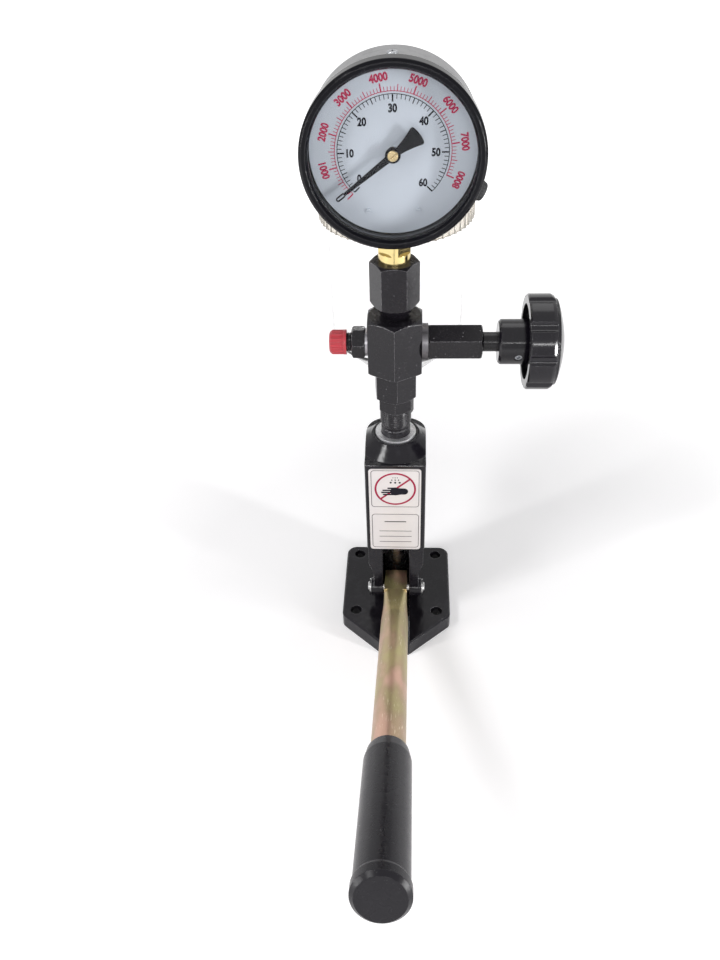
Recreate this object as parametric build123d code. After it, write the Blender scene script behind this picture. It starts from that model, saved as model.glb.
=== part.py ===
from build123d import *
import math
import os

# Fuel injector tester: a hand pump on a bolted base, with a pressure gauge, a shut-off valve
# and an oil jar. Millimetres. +X points to the shut-off knob, -Y to the user, +Z up. The origin
# lies on the base's underside, below the axis of the column. The lever is at its raised rest.

# Clearances that many pieces share
OVERRUN = 2.0
RUN_GAP = 0.05
BODY_GAP = 0.3

# Base plate
base_half_width = 43.0
base_back = 40.0
base_side_front = 38.5
base_thickness = 13.0
base_back_corner = 8.0
base_side_corner = 7.0
base_edge = 1.2
nose_front = 68.5
nose_half_width = 10.3
nose_corner = 2.0
bolt_spacing = 64.0
bolt_centre_y = -2.0
bolt_hole_radius = 4.5

# Column of the pump housing
column_half_width = 21.8
column_front = 29.0
column_back = 30.0
column_height = 165.5
column_edge = 2.0
column_back_corner = 16.0
cheek_half_width = 17.5
cheek_shoulder_half_width = 21.0
cheek_narrow_top = 50.0
cheek_shoulder_bottom = 60.0
cheek_foot_rise = 20.0
cheek_foot_back = 13.0
cheek_foot_sag = 1.5
label_box_bottom = 76.0
turret_shoulder_drop = 8.5
turret_radius = 18.9
turret_foot_radius = 27.0
turret_rim = 1.8

# Slot for the lever, the well under it and the ridge in front
slot_side_gap = 1.75
slot_swing_top = 50.0
slot_rear = 23.0
well_floor = 3.0
well_front = 45.0
pocket_depth_from_axis = 7.0
ridge_height = 18.5
ridge_groove_width = 7.5
ridge_groove_depth = 8.0

# Lever pivot
pivot_forward = 24.0
pivot_height = 30.0
boss_radius = 7.0
boss_half_width = 19.75
pivot_pin_radius = 4.0
pivot_pin_end = 2.6
pin_chamfer = 0.6
clip_thickness = 1.0
clip_radius = 6.4
clip_groove_depth = 0.8
clip_mouth_width = 4.8
clip_seat_gap = 0.2

# Lever
lever_rest_angle = 24.0
lever_pressed_angle = 4.0
lever_length_to_grip_end = 345.0
lever_finger_length = 42.0
lever_finger_top = 2.4
lever_finger_tip_rise = 3.2
lever_head_height = 25.5
lever_head_thickness = 17.0
lever_head_back = 36.0
lever_head_corner = 4.0
lever_step_from_pivot = 9.6
lever_step_overhang = 5.0
lever_step_radius = 3.0
lever_bar_radius = 9.75
lever_bar_wall = 2.5
lever_neck_length = 30.0
grip_length = 110.0
grip_radius = 13.0
grip_start_radius = 11.8
grip_start_length = 10.0
grip_end_radius = 13.8
grip_end_length = 7.0
grip_end_wall = 4.0
grip_edge = 2.0
finger_count = 4
finger_pitch = 21.0
finger_ridge_half_width = 8.0
finger_ridge_reach = 17.0
finger_scallop_radius = 12.5
finger_scallop_depth = 3.6
finger_first_offset = 21.0

# Tappet and the pin that keeps it from turning
tappet_radius = 9.5
tappet_top = 70.0
tappet_edge = 0.8
tappet_pin_radius = 3.0
tappet_pin_half_length = 20.0
tappet_pin_height = 62.0

# Plunger, its barrel and its return spring
plunger_radius = 4.0
plunger_foot_radius = 5.6
plunger_foot_height = 2.5
plunger_top_drop = 14.0
seat_radius = 9.3
seat_height = 2.0
seat_bore_radius = 4.6
spring_mean_radius = 7.5
spring_wire_radius = 0.9
spring_turns = 6.5
spring_end_gap = 0.1
spring_room = 29.5
barrel_top_drop = 9.5
barrel_radius = 10.4
inlet_rise = 8.0
inlet_radius = 2.0

# Delivery valve
valve_seat_height = 7.0
valve_seat_bore = 2.5
delivery_guide_radius = 2.4
delivery_guide_length = 5.0
delivery_head_radius = 5.2
delivery_head_height = 3.0
delivery_head_edge = 0.6
delivery_spigot_radius = 2.0
delivery_spigot_height = 4.0
delivery_spring_mean_radius = 4.0
delivery_spring_wire_radius = 0.6
delivery_spring_turns = 5.0

# Pressure union, its ring and the nut above it
union_neck_radius = 10.3
union_neck_length = 22.3
union_bore_radius = 6.0
union_chamber_roof = 3.8
union_hex_across = 22.0
union_hex_height = 10.7
union_spigot_radius = 8.0
union_spigot_reach = 7.0
union_groove_height = 3.0
union_groove_depth = 0.8
union_groove_rise = 6.5
passage_radius = 1.8
ring_radius = 14.5
ring_thickness = 1.5
ring_bore_gap = 0.2
nut_hex_across = 27.0
nut_hex_height = 22.5
nut_turn = 6.0
hex_chamfer_share = 0.96
hex_chamfer_slope = 0.58

# Valve block
block_across = 36.0
block_height = 39.5
block_foot_chamfer_share = 1.1
block_port_below_middle = 0.75
port_depth = 13.0

# Gauge adapter and socket
adapter_spigot_depth = 8.2
adapter_neck_height = 8.2
adapter_neck_foot_radius = 9.0
adapter_neck_top_radius = 13.0
adapter_hex_across = 28.0
adapter_hex_height = 30.3
socket_stem_radius = 7.25
socket_stem_depth = 13.0
socket_collar_radius = 10.25
socket_collar_height = 6.0
socket_flat_across = 17.0
socket_flat_height = 12.0
socket_flat_turn = 48.0
socket_neck_radius = 8.0
socket_neck_length = 6.0
socket_block_width = 18.0
socket_block_depth = 12.0
socket_block_height = 15.0
socket_block_lift = 3.0

# Pressure gauge
case_radius = 50.0
case_wall = 1.5
case_back_edge = 2.5
case_rear = 15.0
case_front = 20.4
bezel_wall = 2.5
bezel_front = 27.0
bezel_depth = 10.0
bezel_lip_inset = 3.1
bezel_lip_thickness = 2.5
bezel_edge = 1.6
glass_inset = 0.8
glass_thickness = 2.6
gasket_width = 2.0
dial_inset = 2.5
dial_thickness = 0.8
dial_front = 13.6
dial_hole_radius = 3.4
dial_screw_radius = 1.4
dial_screw_height = 0.9
dial_screw_slot = 0.4
dial_post_place = 14.5
case_screw_head_radius = 3.2
case_screw_head_height = 1.8
case_screw_shank_radius = 1.5
case_screw_shank_length = 4.0
case_screw_place = 8.0
case_screw_slot = 0.8
plug_head_radius = 5.6
plug_head_height = 9.0
plug_head_round = 1.6
plug_stem_radius = 4.0
plug_angle = -26.5
plug_place = 6.5

# Gauge movement
gear_module = 0.5
pinion_teeth = 12
sector_teeth_round = 84
sector_teeth_cut = 12
sector_teeth_spare = 1
tooth_thickness_share = 0.36
tooth_tip_share = 0.45
gear_thickness = 2.0
gear_root_gap = 0.25
arbor_radius = 0.9
arbor_boss_radius = 1.8
arbor_boss_gap = 0.1
plate_thickness = 1.2
plate_front_place = 12.0
plate_rear_place = 7.2
plate_half_width = 10.5
plate_reach_above = 7.5
plate_reach_below = 9.5
plate_foot_reach = 19.0
plate_edge = 1.0
pillar_radius = 1.5
pillar_inset = 2.2
sector_arm_half_width = 2.2
sector_hub_radius = 3.2
sector_tail_length = 14.0
sector_tail_half_width = 1.4
sector_tail_angle = -20.0
link_thickness = 0.9
link_half_width = 1.2
link_eye_radius = 2.0
link_rivet_radius = 0.8
tube_coil_radius = 36.0
tube_half_thickness = 2.0
tube_half_depth = 5.0
tube_sweep = 262.0
tube_root_angle = -92.0
tube_lug_reach = 5.0
pointer_thickness = 0.8
pointer_front = 18.6
pointer_hub_radius = 4.4
pointer_tip_length = 38.4
pointer_loop_length = 6.4
pointer_loop_radius = 1.3
pointer_loop_hole = 0.6
pointer_neck_half_width = 2.1
pointer_tip_half_width = 0.8
pointer_tail_length = 18.9
pointer_tail_half_angle = 18.5
pointer_tail_hollow = 0.5
pointer_tail_round = 1.4
pointer_tail_neck_half_width = 2.0
pointer_rest_angle = 218.0
pointer_cap_radius = 3.1
pointer_cap_height = 1.4
pointer_cap_slot = 0.7

# Shut-off valve
valve_washer_radius = 12.5
valve_washer_thickness = 4.0
valve_hex_across = 22.0
valve_hex_length = 35.7
valve_spigot_radius = 9.0
valve_spigot_end_gap = 0.5
valve_seat_thickness = 3.0
valve_seat_hole = 1.2
needle_radius = 3.0
needle_tip_length = 4.0
needle_tip_radius = 0.5
needle_length = 20.0
spindle_radius = 5.0
spindle_collar_radius = 6.5
spindle_stem_length = 10.3
spindle_socket_depth = 6.0
spindle_edge = 0.5
gland_radius = 8.0
gland_length = 7.7
packing_length = 5.0

# Lobed knob
hub_radius = 15.0
hub_length = 18.0
knob_radius = 31.5
knob_rim_length = 18.0
knob_rim_edge = 3.0
knob_dome_height = 7.0
knob_lobes = 9
knob_lobe_angle = 27.0
knob_scallop_radius = 4.2
knob_scallop_depth = 1.9
knob_lobe_edge = 1.0
knob_recess_radius = 25.0
knob_recess_depth = 5.0
knob_bore_depth = 26.0
hub_edge = 1.5
set_screw_radius = 2.5
set_screw_sink = 0.8
set_screw_place = 12.9
set_screw_angle = 16.5
set_screw_socket = 2.5
set_screw_socket_depth = 1.8

# Outlet and its cap
outlet_washer_radius = 9.3
outlet_washer_thickness = 1.8
outlet_hex_across = 19.0
outlet_hex_length = 9.1
outlet_hex_turn = 14.0
outlet_thread_radius = 6.0
outlet_thread_length = 12.9
outlet_bore_radius = 1.5
outlet_cone_radius = 3.4
outlet_cone_depth = 3.0
cap_radius = 7.7
cap_flange_radius = 8.4
cap_flange_length = 1.8
cap_start_gap = 3.4
cap_end_wall = 1.6
cap_edge = 1.0
cap_rib_count = 16
cap_rib_radius = 0.6

# Rear arm, oil jar and lid
jar_clear_of_axis = 22.0
arm_half_width = 11.0
arm_height = 22.0
arm_top_drop = 5.5
arm_gusset_drop = 12.0
arm_gusset_length = 18.0
jar_boss_radius = 13.0
jar_boss_rise = 10.0
drill_plug_radius = 4.0
drill_plug_length = 8.0
drill_plug_head_radius = 6.0
drill_plug_head_length = 3.0
drill_plug_socket = 5.0
gasket_thickness = 2.0
jar_seat_radius = 12.0
jar_radius = 48.0
jar_wall = 2.5
jar_floor = 4.0
jar_funnel_rise = 37.0
jar_height = 138.0
jar_funnel_round = 6.0
jar_bolt_radius = 5.0
jar_bolt_head_across = 15.0
jar_bolt_head_height = 7.0
jar_bolt_depth = 20.0
strainer_radius = 8.0
strainer_height = 7.0
strainer_wall = 0.8
lid_overhang = 4.5
lid_bore_gap = 2.0
lid_rib_radius = 1.2
lid_rib_count = 60
lid_rib_stand = 1.0
lid_skirt_length = 9.5
lid_plate_thickness = 2.5
lid_crown_inset = 4.0
lid_crown_height = 1.5
lid_vent_radius = 1.5
lid_vent_place = 30.0

# Label plate on the column
label_width = 37.5
label_margin_bottom = 1.0
label_margin_top = 2.5
label_thickness = 0.8
label_corner = 2.5
label_off_axis = 0.25

# Places that follow from the sizes above
slot_width = lever_head_thickness + 2 * slot_side_gap
tappet_pin_back = tappet_radius
barrel_bottom = tappet_top + plunger_foot_height + seat_height + spring_room
barrel_top = column_height - barrel_top_drop
plunger_top = barrel_top - plunger_top_drop
arm_top = column_height - arm_top_drop
arm_bottom = arm_top - arm_height
inlet_height = arm_bottom + inlet_rise
label_bottom = label_box_bottom + label_margin_bottom
label_height = column_height - turret_shoulder_drop - label_margin_top - label_bottom
union_neck_top = column_height + union_neck_length
union_chamber_top = union_neck_top - union_chamber_roof
nut_bottom = union_neck_top + union_hex_height
block_bottom = nut_bottom + nut_hex_height
block_top = block_bottom + block_height
port_height = block_bottom + block_height / 2 - block_port_below_middle
adapter_hex_bottom = block_top + adapter_neck_height
adapter_top = adapter_hex_bottom + adapter_hex_height
valve_seat_top = barrel_top + valve_seat_height
block_half = block_across / 2
spigot_start = block_half - port_depth + valve_spigot_end_gap
valve_seat_place = spigot_start + valve_seat_thickness
needle_end = valve_seat_place + needle_length
valve_hex_start = block_half + valve_washer_thickness
valve_hex_end = valve_hex_start + valve_hex_length
gland_start = valve_hex_end - gland_length
packing_start = gland_start - packing_length
hub_start = valve_hex_end + spindle_stem_length
knob_back = hub_start + hub_length
outlet_hex_start = block_half + outlet_washer_thickness
outlet_thread_start = outlet_hex_start + outlet_hex_length
outlet_end = outlet_thread_start + outlet_thread_length
pinion_radius = gear_module * pinion_teeth / 2
sector_radius = gear_module * sector_teeth_round / 2
gear_centres = pinion_radius + sector_radius
plate_gap_bottom = plate_rear_place
plate_gap_top = plate_front_place - plate_thickness
gear_bottom = (plate_gap_top + plate_gap_bottom - gear_thickness) / 2
gear_top = gear_bottom + gear_thickness
plate_rear_back = plate_rear_place - plate_thickness
socket_shoulder = adapter_top + socket_collar_height + socket_flat_height + socket_neck_length
gauge_centre_height = socket_shoulder - socket_block_lift + case_radius
bezel_radius = case_radius + bezel_wall
bezel_lip_radius = case_radius - bezel_lip_inset
glass_radius = case_radius - glass_inset
gasket_inner_radius = glass_radius - gasket_width
dial_radius = case_radius - dial_inset
jar_back = jar_radius + jar_clear_of_axis
jar_boss_top = arm_top + jar_boss_rise
jar_bottom = jar_boss_top + gasket_thickness
jar_top = jar_bottom + jar_height
lid_plate_bottom = jar_top + BODY_GAP
lid_radius = jar_radius + lid_overhang
lid_bore_radius = jar_radius + lid_bore_gap
lid_crown_radius = jar_radius - lid_crown_inset
lid_skirt_bottom = jar_top - lid_skirt_length
jar_floor_top = jar_bottom + jar_floor
jar_funnel_top = jar_bottom + jar_funnel_rise
arm_end = jar_back + jar_boss_radius


def tappet_centre(lever_angle):
    """Height of the centre of the tappet's round end with the finger lowered by an angle."""
    turn = math.radians(lever_angle)
    stand = lever_finger_top + tappet_radius + BODY_GAP
    return pivot_height - pivot_forward * math.tan(turn) + stand / math.cos(turn)


tappet_foot = tappet_centre(lever_rest_angle)
plunger_travel = tappet_centre(lever_pressed_angle) - tappet_foot
lever_travel = math.radians(lever_rest_angle - lever_pressed_angle)
foot_top = tappet_top + plunger_foot_height
spring_bottom = foot_top + seat_height + spring_end_gap
spring_top = barrel_bottom - spring_end_gap
delivery_top = valve_seat_top + delivery_head_height


def turned(*points):
    """Solid of revolution about Z from a closed outline of (radius, height) points."""
    return revolve(make_face(Plane.XZ * Polyline(*points, close=True)), axis=Axis.Z)


def round_bar(radius, low, high):
    """Cylinder along Z between two heights."""
    return Pos(0, 0, low) * Cylinder(radius, high - low, align=(Align.CENTER, Align.CENTER, Align.MIN))


def pipe(outer, inner, low, high):
    """Straight tube along Z between two heights."""
    return round_bar(outer, low, high) - round_bar(inner, low - OVERRUN, high + OVERRUN)


def block(x_range, y_range, z_range):
    """Box between two places along each axis."""
    size = [high - low for low, high in (x_range, y_range, z_range)]
    middle = [(high + low) / 2 for low, high in (x_range, y_range, z_range)]
    return Pos(*middle) * Box(*size)


def hexagon_bar(across, low, high, foot_share=hex_chamfer_share):
    """Hexagon bar along Z with turned chamfers at both ends and corners on the Y axis."""
    corner = across / math.sqrt(3)
    face = across / 2 * hex_chamfer_share
    drop = (corner - face) * hex_chamfer_slope
    foot = across / 2 * foot_share
    rise = (corner - foot) * hex_chamfer_slope
    prism = extrude(Pos(0, 0, low) * RegularPolygon(corner, 6, rotation=30), amount=high - low)
    barrel = turned(
        (0, low), (foot, low), (corner, low + rise), (corner, high - drop), (face, high), (0, high)
    )
    return prism & barrel


def along_x(piece, height):
    """Lay a piece built along +Z so that it runs along +X at the given height."""
    return Pos(0, 0, height) * Rot(0, 90, 0) * piece


def along_minus_x(piece, height):
    """Lay a piece built along +Z so that it runs along -X at the given height."""
    return Pos(0, 0, height) * Rot(0, -90, 0) * piece


def gauge_placed(piece):
    """Stand a piece of the gauge up: its +Z then faces the user and its +Y points up."""
    return Pos(0, 0, gauge_centre_height) * Rot(90, 0, 0) * piece


def polar(radius, degrees):
    """Point on a circle."""
    return radius * math.cos(math.radians(degrees)), radius * math.sin(math.radians(degrees))


def coil(mean_radius, wire_radius, turns, low, high):
    """Spring wire along Z: each half turn is two tangent arcs, and the wire is one tube."""
    bottom = low + wire_radius
    rise = (high - low - 2 * wire_radius) / (2 * turns)
    slope = rise / (math.pi * mean_radius)
    reach = (math.sqrt(rise ** 2 * (slope ** 2 + 1) + 4 * mean_radius ** 2) - rise * slope) / 2
    start_way = Vector(0, 1, slope).normalized()
    edges = []
    for half in range(int(round(2 * turns))):
        sign = 1 if half % 2 == 0 else -1
        foot = bottom + half * rise
        start = Vector(sign * mean_radius, 0, foot)
        middle = Vector(0, sign * reach, foot + rise / 2)
        end = Vector(-sign * mean_radius, 0, foot + rise)
        way = Vector(0, sign * start_way.Y, start_way.Z)
        chord = (middle - start).normalized()
        middle_way = chord * (2 * chord.dot(way)) - way
        edges.append(TangentArc(start, middle, tangent=way))
        edges.append(TangentArc(middle, end, tangent=middle_way))
    section = Plane(origin=(mean_radius, 0, bottom), z_dir=start_way) * Circle(wire_radius)
    print_least_gap(edges, wire_radius)
    return sweep(section, path=Wire([edge.edge() for edge in edges]))


def print_least_gap(edges, wire_radius):
    """Measure a coil's least gap to itself on points of its centre line, and print it."""
    shares = [index / 12 for index in range(12)]
    rows = [[edge @ share for share in shares] for edge in edges]
    least = min(
        (near - far).length
        for row, edge_row in enumerate(rows)
        for near in edge_row
        for far_row in rows[row + 3:]
        for far in far_row
    )
    print(f"spring wire {2 * wire_radius:.1f} mm, least gap between turns {least - 2 * wire_radius:.2f} mm")


def clip_ring(groove_radius, low):
    """Snap ring in a groove round a pin along Z, with its mouth towards -X."""
    ring = pipe(clip_radius, groove_radius, low, low + clip_thickness)
    mouth = block(
        (-clip_radius - OVERRUN, 0),
        (-clip_mouth_width / 2, clip_mouth_width / 2),
        (low - OVERRUN, low + clip_thickness + OVERRUN),
    )
    return ring - mouth


def clip_places():
    """Lower end of each of the two clip grooves, along the pivot pin."""
    inner = boss_half_width + clip_seat_gap
    return inner, -inner - clip_thickness


def pivot_pin():
    """Round pin of the lever with a clip groove outside each boss."""
    half = boss_half_width + pivot_pin_end
    pin = chamfer(round_bar(pivot_pin_radius, -half, half).edges().filter_by(GeomType.CIRCLE), pin_chamfer)
    for low in clip_places():
        groove = pivot_pin_radius - clip_groove_depth
        pin -= pipe(pivot_pin_radius + OVERRUN, groove, low, low + clip_thickness)
    return Pos(0, -pivot_forward, 0) * along_x(pin, pivot_height)


def pivot_clips():
    """The two snap rings that keep the pivot pin in its bosses."""
    rings = clip_ring(pivot_pin_radius - clip_groove_depth, clip_places()[0])
    rings += clip_ring(pivot_pin_radius - clip_groove_depth, clip_places()[1])
    return Pos(0, -pivot_forward, 0) * along_x(rings, pivot_height)


def tappet_pin():
    """Plain pin across the cheeks that runs in the tappet's groove."""
    pin = round_bar(tappet_pin_radius, -tappet_pin_half_length, tappet_pin_half_length)
    return Pos(0, tappet_pin_back, 0) * along_x(pin, tappet_pin_height)


def uprights_near(plate, y_place):
    """Vertical edges of a plate that stand at one place along Y."""
    return plate.edges().filter_by(Axis.Z).filter_by_position(Axis.Y, y_place - RUN_GAP, y_place + RUN_GAP)


def base_plate():
    """Bolted foot: square at the back and drawn in to a blunt nose at the front."""
    outline = Polyline(
        (-base_half_width, base_back),
        (base_half_width, base_back),
        (base_half_width, -base_side_front),
        (nose_half_width, -nose_front),
        (-nose_half_width, -nose_front),
        (-base_half_width, -base_side_front),
        close=True,
    )
    plate = extrude(make_face(outline), amount=base_thickness)
    plate = fillet(uprights_near(plate, base_back), base_back_corner)
    plate = fillet(uprights_near(plate, -base_side_front), base_side_corner)
    plate = fillet(uprights_near(plate, -nose_front), nose_corner)
    plate = chamfer(plate.faces().sort_by(Axis.Z)[-1].edges(), base_edge)
    for x_side in (-1, 1):
        for y_side in (-1, 1):
            x_place = x_side * bolt_spacing / 2
            y_place = bolt_centre_y + y_side * bolt_spacing / 2
            hole = round_bar(bolt_hole_radius, -OVERRUN, base_thickness + OVERRUN)
            plate -= Pos(x_place, y_place, 0) * hole
    return plate


def column_body():
    """Upright casting: cheeks below, label box above and a turned turret on top."""
    half = [
        (cheek_half_width, 0),
        (cheek_half_width, cheek_narrow_top),
        (cheek_shoulder_half_width, cheek_shoulder_bottom),
        (cheek_shoulder_half_width, label_box_bottom),
        (column_half_width, label_box_bottom),
        (column_half_width, column_height),
    ]
    outline = half + [(-x, z) for x, z in reversed(half)]
    front_view = make_face(Plane.XZ * Polyline(*outline, close=True))
    depth = column_front + column_back
    body = Pos(0, column_back, 0) * extrude(front_view, amount=depth)
    reach = column_front + column_half_width + column_back
    shoulder = column_height - turret_shoulder_drop
    envelope = turned(
        (0, 0),
        (reach, 0),
        (reach, shoulder),
        (turret_foot_radius, shoulder),
        (turret_radius, column_height - turret_rim),
        (turret_radius - turret_rim, column_height),
        (0, column_height),
    )
    plan = Pos(0, (column_back - column_front) / 2, 0) * Rectangle(2 * column_half_width, depth)
    plan = fillet(plan.vertices().group_by(Axis.Y)[0], column_edge)
    plan = fillet(plan.vertices().group_by(Axis.Y)[-1], column_back_corner)
    body = body & envelope & extrude(plan, amount=column_height)
    foot_top_z = base_thickness + cheek_foot_rise
    foot_back_y = -column_front + cheek_foot_back
    foot = Line((-column_front - OVERRUN, foot_top_z), (-column_front, foot_top_z))
    foot += ThreePointArc(
        (-column_front, foot_top_z),
        (foot_back_y - cheek_foot_back / 2, base_thickness + cheek_foot_rise / 2 + cheek_foot_sag),
        (foot_back_y, base_thickness),
    )
    foot += Polyline((foot_back_y, base_thickness), (-column_front - OVERRUN, base_thickness),
                     (-column_front - OVERRUN, foot_top_z))
    cut = extrude(make_face(Plane.YZ * foot), amount=column_half_width + OVERRUN, both=True)
    return body - cut


def rear_arm():
    """Arm at the back of the column with a round boss under the oil jar."""
    gusset = [
        (column_back - OVERRUN, arm_bottom - arm_gusset_drop),
        (column_back, arm_bottom - arm_gusset_drop),
        (column_back + arm_gusset_length, arm_bottom),
        (jar_back, arm_bottom),
        (jar_back, arm_top),
        (column_back - OVERRUN, arm_top),
    ]
    side_view = make_face(Plane.YZ * Polyline(*gusset, close=True))
    arm = extrude(side_view, amount=arm_half_width, both=True)
    boss = Pos(0, jar_back, 0) * round_bar(jar_boss_radius, arm_bottom, jar_boss_top)
    return arm + boss


def pump_housing():
    """One casting: foot, column with its lever slot, pivot bosses, ridge and rear arm."""
    bosses = Pos(0, -pivot_forward, 0) * along_x(
        round_bar(boss_radius, -boss_half_width, boss_half_width), pivot_height
    )
    ridge = block(
        (-nose_half_width, nose_half_width), (-nose_front, -well_front), (0, ridge_height)
    )
    ridge = chamfer(ridge.edges().filter_by(Axis.Y).group_by(Axis.Z)[-1], base_edge)
    casting = base_plate() + column_body() + bosses + ridge + rear_arm()
    slot_half = slot_width / 2
    front = -column_front - boss_radius - OVERRUN
    casting -= block((-slot_half, slot_half), (-well_front, slot_rear), (well_floor, slot_swing_top))
    casting -= block(
        (-slot_half, slot_half), (front, -pocket_depth_from_axis), (pivot_height, label_box_bottom)
    )
    casting -= block(
        (-ridge_groove_width / 2, ridge_groove_width / 2),
        (-nose_front - OVERRUN, -well_front + OVERRUN),
        (ridge_height - ridge_groove_depth, ridge_height + OVERRUN),
    )
    casting -= round_bar(tappet_radius + RUN_GAP, slot_swing_top - OVERRUN, barrel_bottom)
    casting -= round_bar(barrel_radius + RUN_GAP, barrel_bottom, column_height + OVERRUN)
    reach = column_half_width + OVERRUN
    pivot_hole = round_bar(pivot_pin_radius + RUN_GAP, -reach, reach)
    casting -= Pos(0, -pivot_forward, 0) * along_x(pivot_hole, pivot_height)
    tappet_hole = round_bar(tappet_pin_radius + RUN_GAP, -reach, reach)
    casting -= Pos(0, tappet_pin_back, 0) * along_x(tappet_hole, tappet_pin_height)
    drilling = Pos(0, 0, inlet_height) * Rot(-90, 0, 0)
    casting -= drilling * round_bar(inlet_radius, 0, arm_end + OVERRUN)
    plug_start = arm_end - drill_plug_length
    casting -= drilling * round_bar(drill_plug_radius + RUN_GAP, plug_start, arm_end + OVERRUN)
    casting -= drilling * round_bar(
        drill_plug_head_radius + BODY_GAP, arm_end - drill_plug_head_length, arm_end + OVERRUN
    )
    casting -= Pos(0, jar_back, 0) * round_bar(inlet_radius, inlet_height, jar_boss_top)
    casting -= Pos(0, jar_back, 0) * round_bar(
        jar_bolt_radius + RUN_GAP, jar_boss_top - jar_bolt_depth, jar_boss_top + OVERRUN
    )
    return casting


def drill_plug():
    """Socket plug that closes the drilled oil passage at the end of the arm."""
    plug = round_bar(drill_plug_radius, arm_end - drill_plug_length, arm_end)
    head_start = arm_end - drill_plug_head_length
    plug += round_bar(drill_plug_head_radius, head_start, arm_end)
    socket = extrude(
        Pos(0, 0, head_start) * RegularPolygon(drill_plug_socket / math.sqrt(3), 6),
        amount=drill_plug_head_length + OVERRUN,
    )
    return Pos(0, 0, inlet_height) * Rot(-90, 0, 0) * (plug - socket)


def label_plate():
    """Thin bare plate on the front of the label box."""
    face = RectangleRounded(label_width, label_height, label_corner)
    plate = extrude(face, amount=label_thickness)
    return Pos(-label_off_axis, -column_front, label_bottom + label_height / 2) * Rot(90, 0, 0) * plate


def pump_barrel():
    """Steel barrel that the plunger runs in, with its inlet port towards the jar."""
    barrel = pipe(barrel_radius, plunger_radius + RUN_GAP, barrel_bottom, barrel_top)
    port = Pos(0, 0, inlet_height) * Rot(-90, 0, 0) * round_bar(inlet_radius, 0, barrel_radius + OVERRUN)
    return barrel - port


def plunger():
    """Ground plunger with a flat foot that the spring seat holds down."""
    foot = round_bar(plunger_foot_radius, tappet_top, foot_top)
    return foot + round_bar(plunger_radius, tappet_top, plunger_top)


def tappet():
    """Push piece between the lever's finger and the plunger: round end, and a guide groove."""
    body = round_bar(tappet_radius, tappet_foot, tappet_top)
    body = chamfer(body.edges().sort_by(Axis.Z)[-1], tappet_edge)
    body += Pos(0, 0, tappet_foot) * Sphere(tappet_radius)
    groove_half = tappet_pin_radius + BODY_GAP
    groove = block(
        (-tappet_radius - OVERRUN, tappet_radius + OVERRUN),
        (tappet_pin_back - groove_half, tappet_radius + OVERRUN),
        (tappet_pin_height - groove_half - plunger_travel, tappet_pin_height + groove_half),
    )
    return body - groove


def spring_seat():
    """Washer under the return spring, resting on the plunger's foot."""
    return pipe(seat_radius, seat_bore_radius, foot_top, foot_top + seat_height)


def return_spring():
    """Coil spring between the barrel and the spring seat."""
    return coil(spring_mean_radius, spring_wire_radius, spring_turns, spring_bottom, spring_top)


def valve_seat():
    """Seat of the delivery valve on top of the barrel."""
    return pipe(barrel_radius, valve_seat_bore, barrel_top, valve_seat_top)


def delivery_valve():
    """Non-return valve: guide, flat head and a spigot inside its spring."""
    guide_bottom = valve_seat_top - delivery_guide_length
    return turned(
        (0, guide_bottom),
        (delivery_guide_radius, guide_bottom),
        (delivery_guide_radius, valve_seat_top),
        (delivery_head_radius, valve_seat_top),
        (delivery_head_radius, delivery_top - delivery_head_edge),
        (delivery_head_radius - delivery_head_edge, delivery_top),
        (delivery_spigot_radius, delivery_top),
        (delivery_spigot_radius, delivery_top + delivery_spigot_height),
        (0, delivery_top + delivery_spigot_height),
    )


def delivery_spring():
    """Light spring that closes the delivery valve."""
    return coil(
        delivery_spring_mean_radius,
        delivery_spring_wire_radius,
        delivery_spring_turns,
        delivery_top + spring_end_gap,
        union_chamber_top - spring_end_gap,
    )


def pressure_union():
    """Screwed neck with a hexagon, which holds the delivery valve down and carries the block."""
    top = block_bottom + union_spigot_reach
    body = round_bar(union_neck_radius, valve_seat_top, union_neck_top)
    groove_bottom = column_height + union_groove_rise
    body -= pipe(
        union_neck_radius + OVERRUN,
        union_neck_radius - union_groove_depth,
        groove_bottom,
        groove_bottom + union_groove_height,
    )
    body += hexagon_bar(union_hex_across, union_neck_top, nut_bottom)
    body += round_bar(union_spigot_radius, nut_bottom, top)
    body -= round_bar(union_bore_radius, valve_seat_top - OVERRUN, union_chamber_top)
    return body - round_bar(passage_radius, valve_seat_top, top + OVERRUN)


def union_ring():
    """Plain steel ring round the neck on top of the column."""
    inner = union_neck_radius + ring_bore_gap
    return pipe(ring_radius, inner, column_height, column_height + ring_thickness)


def lock_nut():
    """Hexagon nut that locks the valve block on the union."""
    return Rot(0, 0, nut_turn) * hexagon_bar(nut_hex_across, nut_bottom, block_bottom) - round_bar(
        union_spigot_radius + RUN_GAP, nut_bottom - OVERRUN, block_bottom + OVERRUN
    )


def valve_block():
    """Hexagon block with ports below, above and on both flats, joined by drillings."""
    body = hexagon_bar(block_across, block_bottom, block_top, block_foot_chamfer_share)
    bore = union_spigot_radius + RUN_GAP
    body -= round_bar(bore, block_bottom - OVERRUN, block_bottom + union_spigot_reach + BODY_GAP)
    body -= round_bar(bore, block_top - adapter_spigot_depth - BODY_GAP, block_top + OVERRUN)
    body -= round_bar(passage_radius, block_bottom, block_top)
    inner = block_half - port_depth
    body -= along_x(round_bar(valve_spigot_radius + RUN_GAP, inner, block_half + OVERRUN), port_height)
    body -= along_minus_x(round_bar(outlet_thread_radius + RUN_GAP, inner, block_half + OVERRUN), port_height)
    return body - along_x(round_bar(passage_radius, -block_half, block_half), port_height)


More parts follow.
